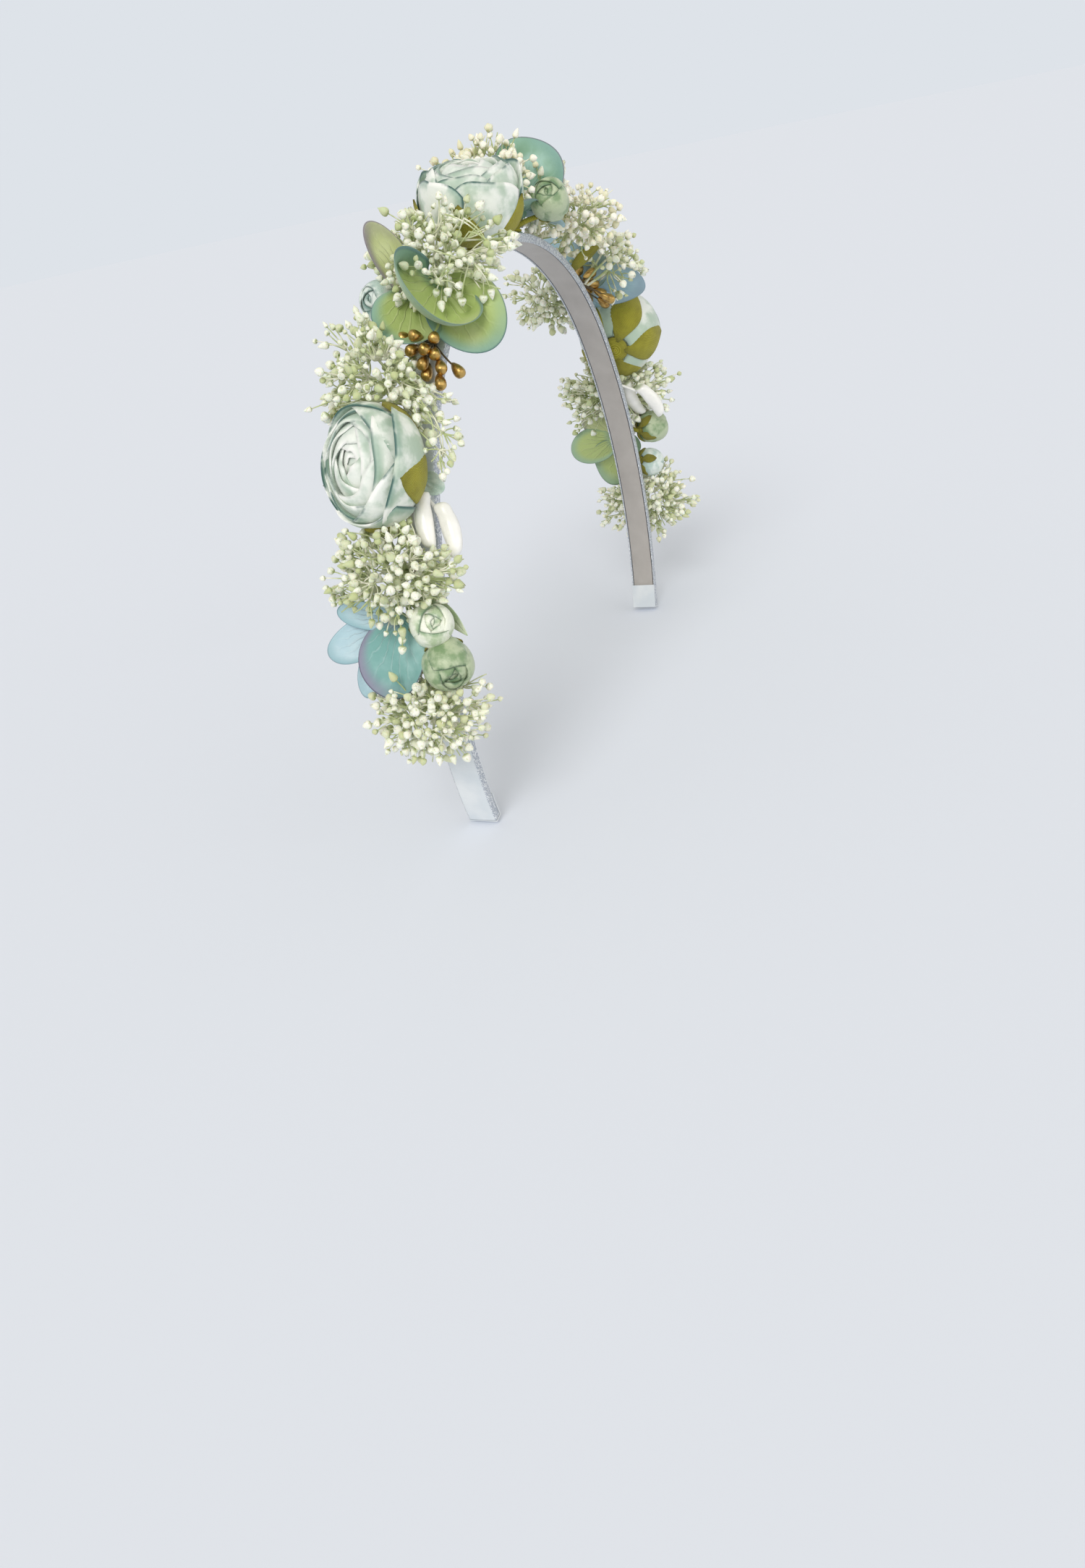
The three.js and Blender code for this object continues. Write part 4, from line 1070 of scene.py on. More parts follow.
def make_band():
    """The satin outside, the lining inside, both folded ends and the strip's own steel."""
    angles, stations = arch_path(TIP_ANGLE, ARCH_STEPS)
    outer = Skin()
    add_strip(outer, ribbon_outline(), angles, stations, BAND_WIDTH / 2)
    ribbon = outer.make("outer_ribbon_cloth", SATIN, "satin_ribbon", "outer_ribbon", sharp=SHARP_EDGE)
    inner = Skin()
    half = BAND_WIDTH / 2 - RIBBON_THICKNESS - LAYER_GAP
    round_edge = RIBBON_THICKNESS / 2
    outline = [(half, round_edge / 2), (half - round_edge, 0)]
    outline += [(round_edge - half, 0), (-half, round_edge / 2)]
    outline += [(-half, RIBBON_THICKNESS - round_edge / 2), (round_edge - half, RIBBON_THICKNESS)]
    outline += [(half - round_edge, RIBBON_THICKNESS), (half, RIBBON_THICKNESS - round_edge / 2)]
    add_strip(inner, outline[::-1], angles, stations, BAND_WIDTH)
    inner.make("inner_ribbon_cloth", SHADED_LINING, "satin_ribbon", "inner_ribbon", sharp=SHARP_EDGE)
    for side, name in ((-1, "right"), (1, "left")):
        make_end_fold(side, name)
    frame["nodes"]["band_core"].data.materials.clear()
    frame["nodes"]["band_core"].data.materials.append(steel())


def make_end_fold(side, name):
    """The ribbon folded over the tip and back along the inside, as one bent strip."""
    clear = LAYER_GAP / SIDE_RADIUS
    start = TIP_ANGLE - END_FOLD / SIDE_RADIUS
    plate = TIP_ANGLE + clear
    end = plate + RIBBON_THICKNESS / SIDE_RADIUS
    low = -LAYER_GAP - RIBBON_THICKNESS
    hem = [(angle, low) for angle in np.linspace(start, end, HEM_STEPS)]
    bend = [(end, low + FOLD_ROUND * RIBBON_THICKNESS), (end, BAND_THICKNESS - FOLD_CORNER)]
    bend.append((end - clear / 3, BAND_THICKNESS))
    back = [(plate, BAND_THICKNESS), (plate, -LAYER_GAP)]
    inner = [(angle, -LAYER_GAP) for angle in np.linspace(plate, start, HEM_STEPS)[1:]]
    outline = np.array([arch_point(side * angle, height) for angle, height in hem + bend + back + inner])
    half = BAND_WIDTH / 2
    widths = np.array([-half, -half + HEM_BEVEL, 0, half - HEM_BEVEL, half])
    points = np.array([[(x, y, z) for x, z in outline] for y in widths])
    middle = outline.mean(axis=0)
    points[0, :, [0, 2]] += (middle[:, None] - outline.T) * HEM_INSET
    points[-1, :, [0, 2]] += (middle[:, None] - outline.T) * HEM_INSET
    count = len(outline)
    index = np.arange(len(widths) * count).reshape(len(widths), count)
    ahead = np.roll(index, -1, axis=1)
    quads = np.stack([index[:-1], index[1:], ahead[1:], ahead[:-1]], -1).reshape(-1, 4)
    half_count = count // 2
    caps = []
    for row, flip in ((index[0], False), (index[-1], True)):
        for k in range(half_count):
            face = [row[k], row[k + 1], row[count - 2 - k], row[count - 1 - k]]
            if len(set(face)) == 4:
                caps.append(face[::-1] if flip else face)
    quads = np.concatenate([quads, np.array(caps)])
    if side > 0:
        quads = quads[:, ::-1]
    skin = Skin()
    skin.add(points.reshape(-1, 3), quads, across=0.5)
    skin.make(name + "_end_hem", SATIN, "satin_ribbon", name + "_end_fold", sharp=SHARP_EDGE)


# Flowers


def add_dab(skin, seat, foot):
    """A low rounded dab of glue on the ribbon."""
    turn, along = ball_grid(16, 7)
    flat = np.sin(math.pi * along) ** 0.7 * (1 - 0.3 * along)
    up = SEAT_GAP + DAB_SIZE[2] * (1 - np.cos(math.pi * along)) / 2
    x = DAB_SIZE[0] / 2 * flat * np.cos(2 * math.pi * turn) + foot[0]
    y = DAB_SIZE[1] / 2 * flat * np.sin(2 * math.pi * turn) + foot[1]
    quads, triangles = ball_faces(16, 7)
    skin.add(moved(np.stack([x, y, up], -1), seat), quads, triangles, along=0.5, edge=9, across=0.5)


def add_stem(skin, seat, foot, base, diameter=STEM_DIAMETER):
    """A dab of glue on the ribbon and the stem that it holds."""
    add_dab(skin, seat, foot)
    start = foot + np.array([0, 0, DAB_SIZE[2] / 2])
    middle = np.array([start[0], start[1], (start[2] + base[2]) / 2])
    path = moved(curve_through(start, middle, base), seat)
    add_tubes(skin, path[None], diameter / 2, STEM_SIDES)


def egg_petal(radius, half, theta, half_angle, rim, random, flare, bulge):
    """A cupped petal that lies on an egg, and how far its points are from its free edges."""
    across, along = grid(PETAL_COLUMNS, PETAL_ROWS)
    low, high = math.radians(PETAL_BASE), math.radians(rim)
    waves = np.sin(across * random.uniform(2, 4) + random.uniform(0, 6))
    high = high + math.radians(random.uniform(1, 4)) * waves
    slant = math.radians(random.uniform(-PETAL_SLANT, PETAL_SLANT))
    high = np.minimum(high + across * slant, PETAL_STEEPEST)
    latitude = low + (high - low) * along * (1 - PETAL_CORNER * np.abs(across) ** 3)
    narrow = 0.5 + 0.5 * np.sin(math.pi / 2 * np.minimum(1, along * PETAL_WIDENING))
    angle = math.radians(theta) + across * math.radians(half_angle) * narrow
    opening = np.clip((along - PETAL_OPENING[0]) / PETAL_OPENING[1], 0, 1) ** 2
    ripple = np.sin(across * random.uniform(3, 6) + along * 3 + random.uniform(0, 6))
    crease = np.sin(across * random.uniform(4, 7) + random.uniform(0, 6))
    lip = np.clip((along - PETAL_LIP[0]) / PETAL_LIP[1], 0, 1) ** 2
    scale = 1 + PETAL_TUCK * across + flare * opening * np.cos(across * math.pi / 3)
    scale += bulge * np.cos(across * math.pi / 2) * np.sin(math.pi * along)
    scale += PETAL_RIPPLE * ripple * along + PETAL_LIP_DEPTH * lip * (1 + crease)
    flat = radius * scale * np.cos(latitude) ** PETAL_SQUARENESS
    up = half * scale * np.sign(np.sin(latitude)) * np.abs(np.sin(latitude)) ** PETAL_SQUARENESS
    surface = np.stack([flat * np.cos(angle), flat * np.sin(angle), up], -1)
    across_edge = (1 - np.abs(across)) * radius * math.radians(half_angle)
    along_edge = (1 - along) * (radius + half) / 2 * math.radians(rim - PETAL_BASE)
    return surface, np.minimum(across_edge, along_edge)


def egg_sepal(radius, half, theta, random, tip):
    """A pointed sepal that hugs the underside of an egg, and its points' distances from its edges."""
    across, along = grid(*SEPAL_GRID)
    latitude = np.radians(-SEPAL_BASE + (tip + SEPAL_BASE) * along)
    narrow = np.sin(math.pi * (0.12 + 0.88 * along)) ** 0.75 * (1 - 0.25 * along)
    angle = math.radians(theta + random.uniform(-4, 4)) + across * math.radians(SEPAL_HALF) * narrow
    crease = 0.02 * (1 - np.abs(across)) - 0.012 * np.abs(across)
    scale = 1 + crease + 0.07 * np.clip((along - 0.6) / 0.4, 0, 1) ** 2
    flat = radius * scale * np.cos(latitude) ** PETAL_SQUARENESS
    up = half * scale * np.sign(np.sin(latitude)) * np.abs(np.sin(latitude)) ** PETAL_SQUARENESS
    surface = np.stack([flat * np.cos(angle), flat * np.sin(angle), up], -1)
    return surface, (1 - np.abs(across)) * radius * math.radians(27) * narrow


def add_core(skin, matrix, radius, half):
    """A closed bud in the heart of a flower."""

    def shape(turn, along):
        swing = np.cos(math.pi * along)
        flat = radius * np.sin(math.pi * along) ** PETAL_SQUARENESS
        return flat, -half * np.sign(swing) * np.abs(swing) ** PETAL_SQUARENESS

    add_round(skin, matrix, 24, 15, shape, seed=0.2, edge=9, along=0.9)


def add_calyx(skin, whole, seat, size, random):
    """Sepals round the foot of a flower, and the button that they meet in."""
    radius, half = size["radius"], size["half"]
    hug = 1 + (PIECE_GAP + SEPAL_CLEARANCE) / radius
    tip = seat.get("sepal_tip", size["sepal_tip"])
    for index in range(size["sepals"]):
        theta = seat["spin"] + (index + 0.5) * 360 / size["sepals"]
        surface, edge = egg_sepal(radius * hug, half * hug, theta, random, tip)
        add_sheet(skin, surface, SEPAL_SHEET, whole, edge, random.random())

    def button(turn, along):
        rise = 0.5 - np.cos(math.pi * along) * 0.7
        return radius * BUTTON_SHARE * np.sin(math.pi * along) ** 0.6, rise

    foot = whole @ placing(np.eye(3), (0, 0, -half * hug))
    add_round(skin, foot, *BUTTON_GRID, button, seed=0.4, edge=1)


def add_petal(skin, whole, seat, size, ring, index, bulge, random):
    """One petal of a ring, which opens more on the side that the flower opens to."""
    radius, half = size["radius"], size["half"]
    count, share, rim, flare, half_angle, first = ring
    theta = seat["spin"] + first + index * 360 / count + random.uniform(-PETAL_SWAY, PETAL_SWAY)
    facing = max(0, math.cos(math.radians(theta - seat["open"]))) ** 2
    flare = flare * random.uniform(*FLARE_SHARES) + size["open"] * facing * share**4
    rim = rim + random.uniform(-PETAL_RIM_SWAY, PETAL_RIM_SWAY)
    height = half * share**RING_HEIGHT_POWER
    surface, edge = egg_petal(radius * share, height, theta, half_angle, rim, random, flare, bulge)
    outer = max(0, share - INNERMOST) / (1 - INNERMOST)
    filling = PETAL_FILLING * radius
    add_sheet(skin, surface, PETAL_THICKNESS, whole, edge, random.random(), outer, filling)


def make_flower(owner, seat, place, size, rings, silk, slot, bulge, random):
    """Sepals on a stem, and the rings of petals, one piece for each of the model's layers."""
    band_place = seat_at(seat["at"])
    local = placing(turning(0, seat["lean"]) @ turning(1, seat["tip"]), place)
    local[:3, :2] *= seat.get("stretch", (1, 1))
    whole = band_place @ local
    skin = Skin()
    below = moved([[0, 0, -size["half"] - PIECE_GAP - size["sepal"] / 2]], local)[0]
    add_stem(skin, band_place, foot_of(seat["foot"]), below)
    add_calyx(skin, whole, seat, size, random)
    skin.make(owner + "_sepals", SEPAL, "olive_sepal", owner + "_calyx")
    for layer, layer_rings in rings.items():
        skin = Skin()
        for ring in layer_rings:
            for index in range(ring[0]):
                add_petal(skin, whole, seat, size, ring, index, bulge, random)
        if layer == list(rings)[-1]:
            core = ring[1] - CORE_GAP
            add_core(skin, whole, core * size["radius"], core**RING_HEIGHT_POWER * size["half"])
        skin.make(owner + "_" + layer + "_silk", silk, slot, owner + "_" + layer)
    return whole


def make_ranunculi():
    eggs = []
    size = dict(
        radius=RANUNCULUS_RADIUS - RANUNCULUS_INSET, half=RANUNCULUS_HALF, sepal=RANUNCULUS_SEPAL,
        sepals=5, sepal_tip=20, open=0.14,
    )
    for index, (name, seat) in enumerate(RANUNCULI.items()):
        rise = SEAT_GAP + DAB_SIZE[2] - DAB_BITE + RANUNCULUS_SEPAL + PIECE_GAP + RANUNCULUS_HALF
        place = (0, seat["aside"] * BAND_WIDTH, rise)
        rings = dict(RANUNCULUS_RINGS)
        if seat.get("scalloped"):
            rings["outer_petals"] = SCALLOPED_PETALS
        whole = make_flower(
            "ranunculus_" + name, seat, place, size, rings, RANUNCULUS,
            "ranunculus_petal", RANUNCULUS_BULGE, np.random.default_rng(SEEDS["ranunculus"] + index),
        )
        radius, half = RANUNCULUS_RADIUS + RANUNCULUS_MARGIN, RANUNCULUS_HALF + RANUNCULUS_MARGIN
        eggs.append((np.linalg.inv(whole), radius, half))
    return eggs


def make_rosebuds():
    eggs = []
    for index, (name, seat) in enumerate(ROSEBUDS.items()):
        radius, half = ROSEBUD_RADIUS * seat["size"], ROSEBUD_HALF * seat["size"]
        size = dict(
            radius=radius * ROSEBUD_INSET[0], half=half * ROSEBUD_INSET[1], sepal=ROSEBUD_SEPAL,
            sepals=4, sepal_tip=-12, open=0,
        )
        place = (0, seat["aside"] * BAND_WIDTH, seat["rise"] * 2 * ROSEBUD_HALF)
        dark = name in DARK_BUDS
        pale = ROSEBUD_DEEP if name in DEEP_BUDS else ROSEBUD_SAGE
        whole = make_flower(
            "rosebud_" + name, seat | dict(spin=index * ROSEBUD_SPIN, open=0), place, size, ROSEBUD_RINGS,
            ROSEBUD_DARK if dark else pale,
            "rosebud_dark_teal" if dark else "rosebud_sage",
            ROSEBUD_BULGE, np.random.default_rng(SEEDS["rosebud"] + index),
        )
        eggs.append((np.linalg.inv(whole), radius + ROSEBUD_MARGIN, half + ROSEBUD_MARGIN))
    return eggs


# Florets and leaves


def fan_petal(length, width, curl, random, folding=1, brim=0):
    """A round petal whose veins fan out from its root, hollow side up, and its edge distances."""
    across, along = grid(*FLORET_GRID)
    across = -across
    inside = 0.03 + 0.97 * along
    turn = across * FAN_SWEEP
    rim = np.cos(turn) ** FAN_FULLNESS
    widest = math.atan(1 / math.sqrt(FAN_FULLNESS))
    spread = 2 * math.sin(widest) * math.cos(widest) ** FAN_FULLNESS
    x = length * inside * rim * np.cos(turn)
    y = width / spread * inside * rim * np.sin(turn)
    phase = random.uniform(0, 6)
    frill = FLORET_FRILL * width * np.sin(random.uniform(6, 9) * across + phase) * inside**3
    relief = VEIN_DEPTH * np.cos(2 * math.pi * VEIN_COUNT * across / 2) * np.sin(math.pi * inside)
    lip = np.sin(random.uniform(2, 3.5) * across + random.uniform(0, 6)) + random.uniform(-0.3, 0.5)
    outward = np.clip((inside - 0.64) / 0.36, 0, 1) ** 2
    folded = (folding * FLORET_LIP * width * lip + brim * length * np.sqrt(rim)) * outward
    z = FLORET_CUP * y * y / width + curl * length * inside**2 * rim**2 + frill + folded - relief
    edge = np.minimum((1 - along) * rim * length, (1 - np.abs(across)) * FAN_SWEEP * along * length)
    return np.stack([x, y, z], -1), edge


def make_floret(name, seat, random):
    """The petals of one floret on its stem, and the bead in its middle."""
    owner = "hydrangea_" + name
    place = seat_at(seat["at"])
    hub = np.array([0, seat["aside"] * BAND_WIDTH, seat["rise"] * FLORET_PETAL])
    skin = Skin()
    add_stem(skin, place, foot_of(seat["foot"]), hub)
    half_hub = FLORET_HUB / 2
    add_round(
        skin, place @ placing(np.eye(3), hub), 16, 9,
        lambda t, a: (half_hub * np.sin(math.pi * a), -half_hub * np.cos(math.pi * a)),
        edge=9, along=0.5,
    )
    petals = [(hub, petal) for petal in seat["petals"]]
    if "twin" in seat:
        twin = np.array(seat["twin"])
        add_stem(skin, place, foot_of(seat["foot"]), twin)
        petals += [(twin, petal) for petal in seat["twin_petals"]]
    for root, (turn, lift, roll, length_share, width_share, curl, brim, tint) in petals:
        length, width = FLORET_PETAL * length_share, FLORET_PETAL * width_share
        folding = 0 if brim else seat.get("lip", 1)
        surface, edge = fan_petal(length, width, curl, random, folding, brim)
        matrix = place @ posed(root, turn, lift, roll)
        add_sheet(skin, surface, FLORET_THICKNESS, matrix, edge, random.random(), tint)
    skin.make(owner + "_petals", FLORET_MATERIALS[seat.get("look", seat["tone"])], seat["tone"], owner)
    skin = Skin()
    rise = (FLORET_HUB + FLORET_PIP) / 2 + PIECE_GAP
    half_pip = FLORET_PIP / 2
    add_round(
        skin, place @ placing(np.eye(3), hub + np.array([0, 0, rise])), 20, 11,
        lambda t, a: (
            half_pip * np.sin(math.pi * a) * (1 - 0.12 * np.cos(8 * math.pi * t) * np.sin(math.pi * a)),
            -half_pip * np.cos(math.pi * a),
        ),
    )
    skin.make(owner + "_pip_bead", PIP, "floret_pip", owner + "_pip")


def leaf_blade(length, width, form):
    """A leaf from its root along +X, hollow side up, with a grooved midrib, and its edge distances."""
    across, along = grid(*LEAF_GRID)
    across = -across
    inside = 0.015 + 0.975 * along
    fullness = np.sin(math.pi * inside ** form["belly"]) ** form["blunt"]
    y = width / 2 * fullness * across
    z = form["cup"] * y * y / width + LEAF_CURL * length * inside**2
    z -= 0.25 * np.exp(-((across / 0.14) ** 2)) * np.sin(math.pi * inside)
    return np.stack([inside * length, y, z], -1), (1 - np.abs(across)) * width / 2 * fullness


def make_leaf(name, seat, random):
    place = seat_at(seat["at"])
    foot = foot_of(seat["foot"])
    skin = Skin()
    add_dab(skin, place, foot)
    length, width = LEAF_SIZE[0] * seat["length"], LEAF_SIZE[1] * seat["width"]
    if seat.get("fan"):
        surface, edge = fan_petal(length, width, LEAF_CURL, random)
    else:
        surface, edge = leaf_blade(length, width, LEAF_FORM)
    root = foot + np.array([0, 0, DAB_SIZE[2] / 2])
    matrix = place @ posed(root, seat["turn"], seat["lift"], seat.get("roll", 0))
    add_sheet(skin, surface, LEAF_THICKNESS, matrix, edge, random.random())
    skin.make(name + "_cloth", LEAF_MATERIALS[seat["tone"]], seat["tone"], name)


# Stamens and clay buds


def make_stamens():
    """Bunches of gilt pears on dark wires."""
    for name, seat in STAMEN_BUNCHES.items():
        place = seat_at(seat["at"])
        foot = foot_of(seat["foot"])
        root = foot + np.array([0, 0, DAB_SIZE[2] / 2])
        heads, wires = Skin(), Skin()
        add_dab(wires, place, foot)
        long, wide = STAMEN_HEAD
        for index, (turn, lift, share) in enumerate(STAMENS):
            turn = turn if name == "right" else 180 - turn
            matrix = place @ posed(root, turn, lift)
            reach = STAMEN_LENGTH * share - long / 2
            bend = STAMEN_BEND * math.sin(index * STAMEN_TURN)
            path = curve_through((0, 0, 0), (reach / 2, bend, -bend), (reach, 0, 0))
            add_tubes(wires, moved(path, matrix)[None], STAMEN_WIRE / 2, WIRE_SIDES)
            upright = matrix @ placing(turning(1, 90), (reach - long / 2, 0, 0))

            def pear(turn, along):
                fullness = np.sin(math.pi * along**1.5) ** 0.85
                ridge = 1 + 0.05 * np.cos(6 * math.pi * turn + index)
                return wide / 2 * fullness * ridge, long * (1 - np.cos(math.pi * along)) / 2

            add_round(heads, upright, *STAMEN_GRID, pear, seed=index / len(STAMENS))
        heads.make("stamens_" + name + "_heads", GILT, "gilt_stamen", "stamens_" + name)
        wires.make("stamens_" + name + "_wires", WIRE, "gilt_stamen")


def make_clay_buds():
    """Bent clay fingers, each on a thin stem."""
    for name, seat in CLAY_BUDS.items():
        place = seat_at(seat["at"])
        long, wide = CLAY_BUD
        root = np.array([0, seat["aside"] * BAND_WIDTH, seat["rise"] * wide])
        local = posed(root, seat["turn"], seat["lift"])
        skin = Skin()
        heading = math.radians(seat["turn"])
        inward = root + wide / 2 * np.array([math.cos(heading), math.sin(heading), 0])
        add_stem(skin, place, foot_of(seat["foot"]), inward, CLAY_STEM)
        turn, along = ball_grid(*CLAY_GRID)
        angle = 2 * math.pi * turn
        fullness = np.sin(math.pi * along**0.8) ** 0.5
        pinch = 1 - 0.12 * np.exp(-(((along - 0.32) / 0.1) ** 2))
        flat = wide / 2 * fullness * pinch
        y = flat * np.cos(angle) + seat["bend"] * CLAY_BEND * np.sin(math.pi * along)
        z = flat * CLAY_FLATNESS * np.sin(angle)
        points = np.stack([long * (1 - np.cos(math.pi * along)) / 2, y, z], -1)
        quads, triangles = ball_faces(*CLAY_GRID)
        skin.add(moved(points, place @ local), quads, triangles, along=along)
        skin.make("clay_bud_" + name + "_finger", PEARL, "pearl_clay", "clay_bud_" + name)


# Gypsophila


def head_forms():
    """The kinds of bud: round, opening, pear-shaped, ruffled and pointed, each hung by its root."""
    turn, along = ball_grid(*HEAD_GRID)
    angle = 2 * math.pi * turn
    swell = np.sin(math.pi * along)
    drop = np.sin(math.pi * along**0.75) ** 1.3
    up = -np.cos(math.pi * along)
    cups = np.clip((along - 0.55) / 0.3, 0, 1) * (1 + np.cos(5 * angle)) / 2
    kinds = [
        (drop * (1 + 0.05 * np.cos(3 * angle + 5 * along)), up * 1.05),
        (drop * (1 + 0.1 * along), np.where(along > 0.92, 0.3, up * 0.95 + 0.6 * cups)),
        (np.sin(math.pi * along**0.62) ** 1.4 * 0.88, up * 1.35),
        (swell * (1 + 0.2 * np.sin(4 * angle + 7 * along) * np.sin(2 * angle + 1)),
         up * (1 + 0.16 * np.sin(3 * angle))),
        (drop * 0.92, up * 1.1 + 0.35 * np.clip((along - 0.85) / 0.15, 0, 1)),
    ]
    return [np.stack([f * np.cos(angle), f * np.sin(angle), u + 0.9], -1) for f, u in kinds], along


def mesh_tree(wanted):
    """A search tree of the pieces, other than the model's own, whose names hold one of some words."""
    points, faces, count = [], [], 0
    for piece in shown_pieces():
        if "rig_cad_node" in piece or not any(word in piece.name for word in wanted):
            continue
        mesh = piece.data
        corners = np.empty(len(mesh.vertices) * 3, np.float32)
        mesh.vertices.foreach_get("co", corners)
        points.append(corners.reshape(-1, 3))
        faces += [[v + count for v in polygon.vertices] for polygon in mesh.polygons]
        count += len(mesh.vertices)
    return BVHTree.FromPolygons(np.concatenate(points).tolist(), faces)


class Room:
    """Where seed heads and stalks may go: off the flowers, off each other and not before the finest."""

    def __init__(self, eggs):
        self.eggs = eggs
        self.taken = np.empty((0, 3))
        self.near = mesh_tree([""])
        self.finest = mesh_tree(["_heads", "_finger"])
        self.shown = mesh_tree(["_petals", "_silk", "_sepals", "leaf_"])
        self.eye = seen_from_camera(-ORIGIN)

    def is_free(self, points, clearance):
        for inverse, radius, half in self.eggs:
            inner = moved(points, inverse) / np.array([radius, radius, half])
            if (np.sum(inner**2, axis=-1) < 1).any():
                return False
        return all(
            self.near.find_nearest(Vector(point) * MM, clearance * MM)[0] is None for point in points
        )

    def hides(self, spot, random, over):
        """Whether a head would hide a piece that the photograph shows behind it."""
        away = Vector(spot - self.eye).normalized()
        for station, kept, radius in KEPT_IN_SIGHT:
            ahead = Vector(moved(kept, seat_at(station)) - spot)
            if ahead.dot(away) > 0 and ahead.cross(away).length < radius:
                return True
        start = Vector(spot) * MM
        side = away.orthogonal() * FINEST_CLEARANCE * MM
        for offset in (side, -side, away.cross(side), side.cross(away)):
            if self.finest.ray_cast(start + offset, away, SIGHT_REACH * MM)[0] is not None:
                return True
        if random.random() < over:
            return False
        return self.shown.ray_cast(start, away, SIGHT_REACH * MM)[0] is not None

    def covers(self, stalk):
        """Whether a stalk would cross before the finest pieces."""
        for point in stalk[2:]:
            away = Vector(point - self.eye).normalized()
            if self.finest.ray_cast(Vector(point) * MM, away, SIGHT_REACH * MM)[0] is not None:
                return True
        return False

    def is_taken(self, spot):
        return len(self.taken) and np.min(np.sum((self.taken - spot) ** 2, axis=1)) < HEAD_SPACING**2

    def take(self, spot):
        self.taken = np.concatenate([self.taken, spot[None]])


def turned_to(direction):
    """Frames whose z runs along directions."""
    z = unit(direction)
    reference = np.where(np.abs(z[:, 2:]) < 0.9, [[0, 0, 1]], [[1, 0, 0]])
    x = unit(np.cross(reference, z))
    return np.stack([x, np.cross(z, x), z], -1)


def spread(index, count, offset):
    """Directions spread evenly over a ball."""
    up = 1 - (2 * index + 1) / count
    flat = math.sqrt(1 - up * up)
    turn = math.pi * (3 - math.sqrt(5)) * index + offset
    return np.array([flat * math.cos(turn), flat * math.sin(turn), up])


class Spray:
    """A spray as it grows: its branches by their order, and its heads as place, direction and size."""

    def __init__(self, seat, random, room):
        self.at, aside, rise, long, wide, high, _, self.over = seat
        self.place = seat_at(self.at)
        self.half = np.array([long, wide, high]) * SPRAY_SIZE / 2
        self.middle = np.array([0, aside * BAND_WIDTH, rise * SPRAY_SIZE[2]])
        foot = math.copysign(SPRAY_FOOT * BAND_WIDTH, aside)
        self.root = np.array([0, foot, SEAT_GAP + DAB_SIZE[2] / 2])
        self.volume = 4 / 3 * math.pi * np.prod(self.half)
        self.random, self.room = random, room
        self.branches, self.heads, self.knots = [[], [], []], [], []

    def bend(self, start, pull, end):
        return moved(curve_through(start, pull, end), self.place)

    def nearest_knot(self, spot):
        return min(self.knots, key=lambda knot: np.sum((knot - np.array(spot)) ** 2))

    def grow_knots(self):
        """Stems from the glue to the knots."""
        count = max(FEWEST_KNOTS, round(self.volume / KNOT_ROOM))
        for index in range(count):
            direction = spread(index, count, self.at * KNOT_TURN)
            direction[2] = direction[2] * KNOT_LEVEL + KNOT_RISE
            knot = self.middle + direction * self.half * KNOT_REACH
            knot[2] = max(knot[2], LOWEST_HEAD)
            self.knots.append(knot)
            pull = (self.root + knot) / 2 + self.random.uniform(-1, 1, 3) * KNOT_PULL
            self.branches[0].append(self.bend(self.root, pull, knot))

    def grow_wisps(self, wisps):
        """Bare wires, with a head wherever no other wire goes on."""
        for start, pull, end in wisps:
            if start == wisps[0][0] or all(start != other[-1] for other in wisps):
                knot = self.nearest_knot(start)
                self.branches[2].append(self.bend(knot, (knot + np.array(start)) / 2, start))
            stalk = self.bend(start, pull, end)
            self.branches[2].append(stalk)
            if all(end != other[0] for other in wisps):
                self.heads.append((stalk[-1], stalk[-1] - stalk[-2], SEED_HEAD / 2))
                self.room.take(stalk[-1])

    def find_forks(self, strays):
        """The places that heads spring from, each with the way out from it."""
        count = max(1, math.ceil(self.volume / HEAD_ROOM / HEADS_PER_FORK))
        forks = []
        for index in range(count):
            direction = spread(index, count, self.at * FORK_TURN)
            reach = self.random.uniform(*FORK_REACH)
            if self.random.random() < LONER_SHARE:
                reach *= LONER_REACH
            fork = self.middle + direction * self.half * reach * self.random.uniform(*FORK_SHARES)
            forks.append((fork, direction * self.half * reach * self.random.uniform(*HEAD_SHARES)))
        for stray in strays:
            outward = unit(np.array(stray) - self.middle) * self.half * STRAY_HEADS
            forks.append((np.array(stray, float), outward))
        return forks

    def grow_heads(self, strays):
        """Stems from the knots to the forks, and the stalks and heads that find room there."""
        for fork, outward in self.find_forks(strays):
            fork[2] = max(fork[2], LOWEST_HEAD)
            knot = self.nearest_knot(fork)
            stem = self.bend(knot, (knot + fork) / 2 + self.random.uniform(-1, 1, 3), fork)
            grown = len(self.heads)
            for _ in range(HEADS_PER_FORK):
                for _ in range(HEAD_TRIES):
                    if self.add_head(fork, outward):
                        break
            if len(self.heads) > grown:
                self.branches[1].append(stem)

    def add_head(self, fork, outward):
        """One try at a stalk and, on most, its head. False where there is no room."""
        random, room = self.random, self.room
        tip = fork + outward * random.uniform(*HEAD_LENGTHS)
        tip = tip + random.normal(0, HEAD_SCATTER, 3) * self.half
        if tip[2] < LOWEST_HEAD:
            tip[2] = LOWEST_HEAD + random.uniform(0, LOW_HEAD_RISE)
        spot = moved(tip, self.place)
        if room.is_taken(spot) or room.hides(spot, random, self.over):
            return False
        pull = (fork * 1.2 + tip * 0.8) / 2 + random.uniform(-1, 1, 3) * HEAD_PULL
        stalk = self.bend(fork, pull, tip)
        size = SEED_HEAD / 2 * random.uniform(*HEAD_SIZES)
        if room.covers(stalk) or not room.is_free(stalk[3:-1], STALK_ROOM):
            return False
        if not room.is_free(stalk[-1:], size * HEAD_ROOM_SHARE):
            return False
        room.take(spot)
        self.branches[2].append(stalk)
        if random.random() > BARE_TWIG_SHARE:
            self.heads.append((stalk[-1], stalk[-1] - stalk[-2], size))
        return True


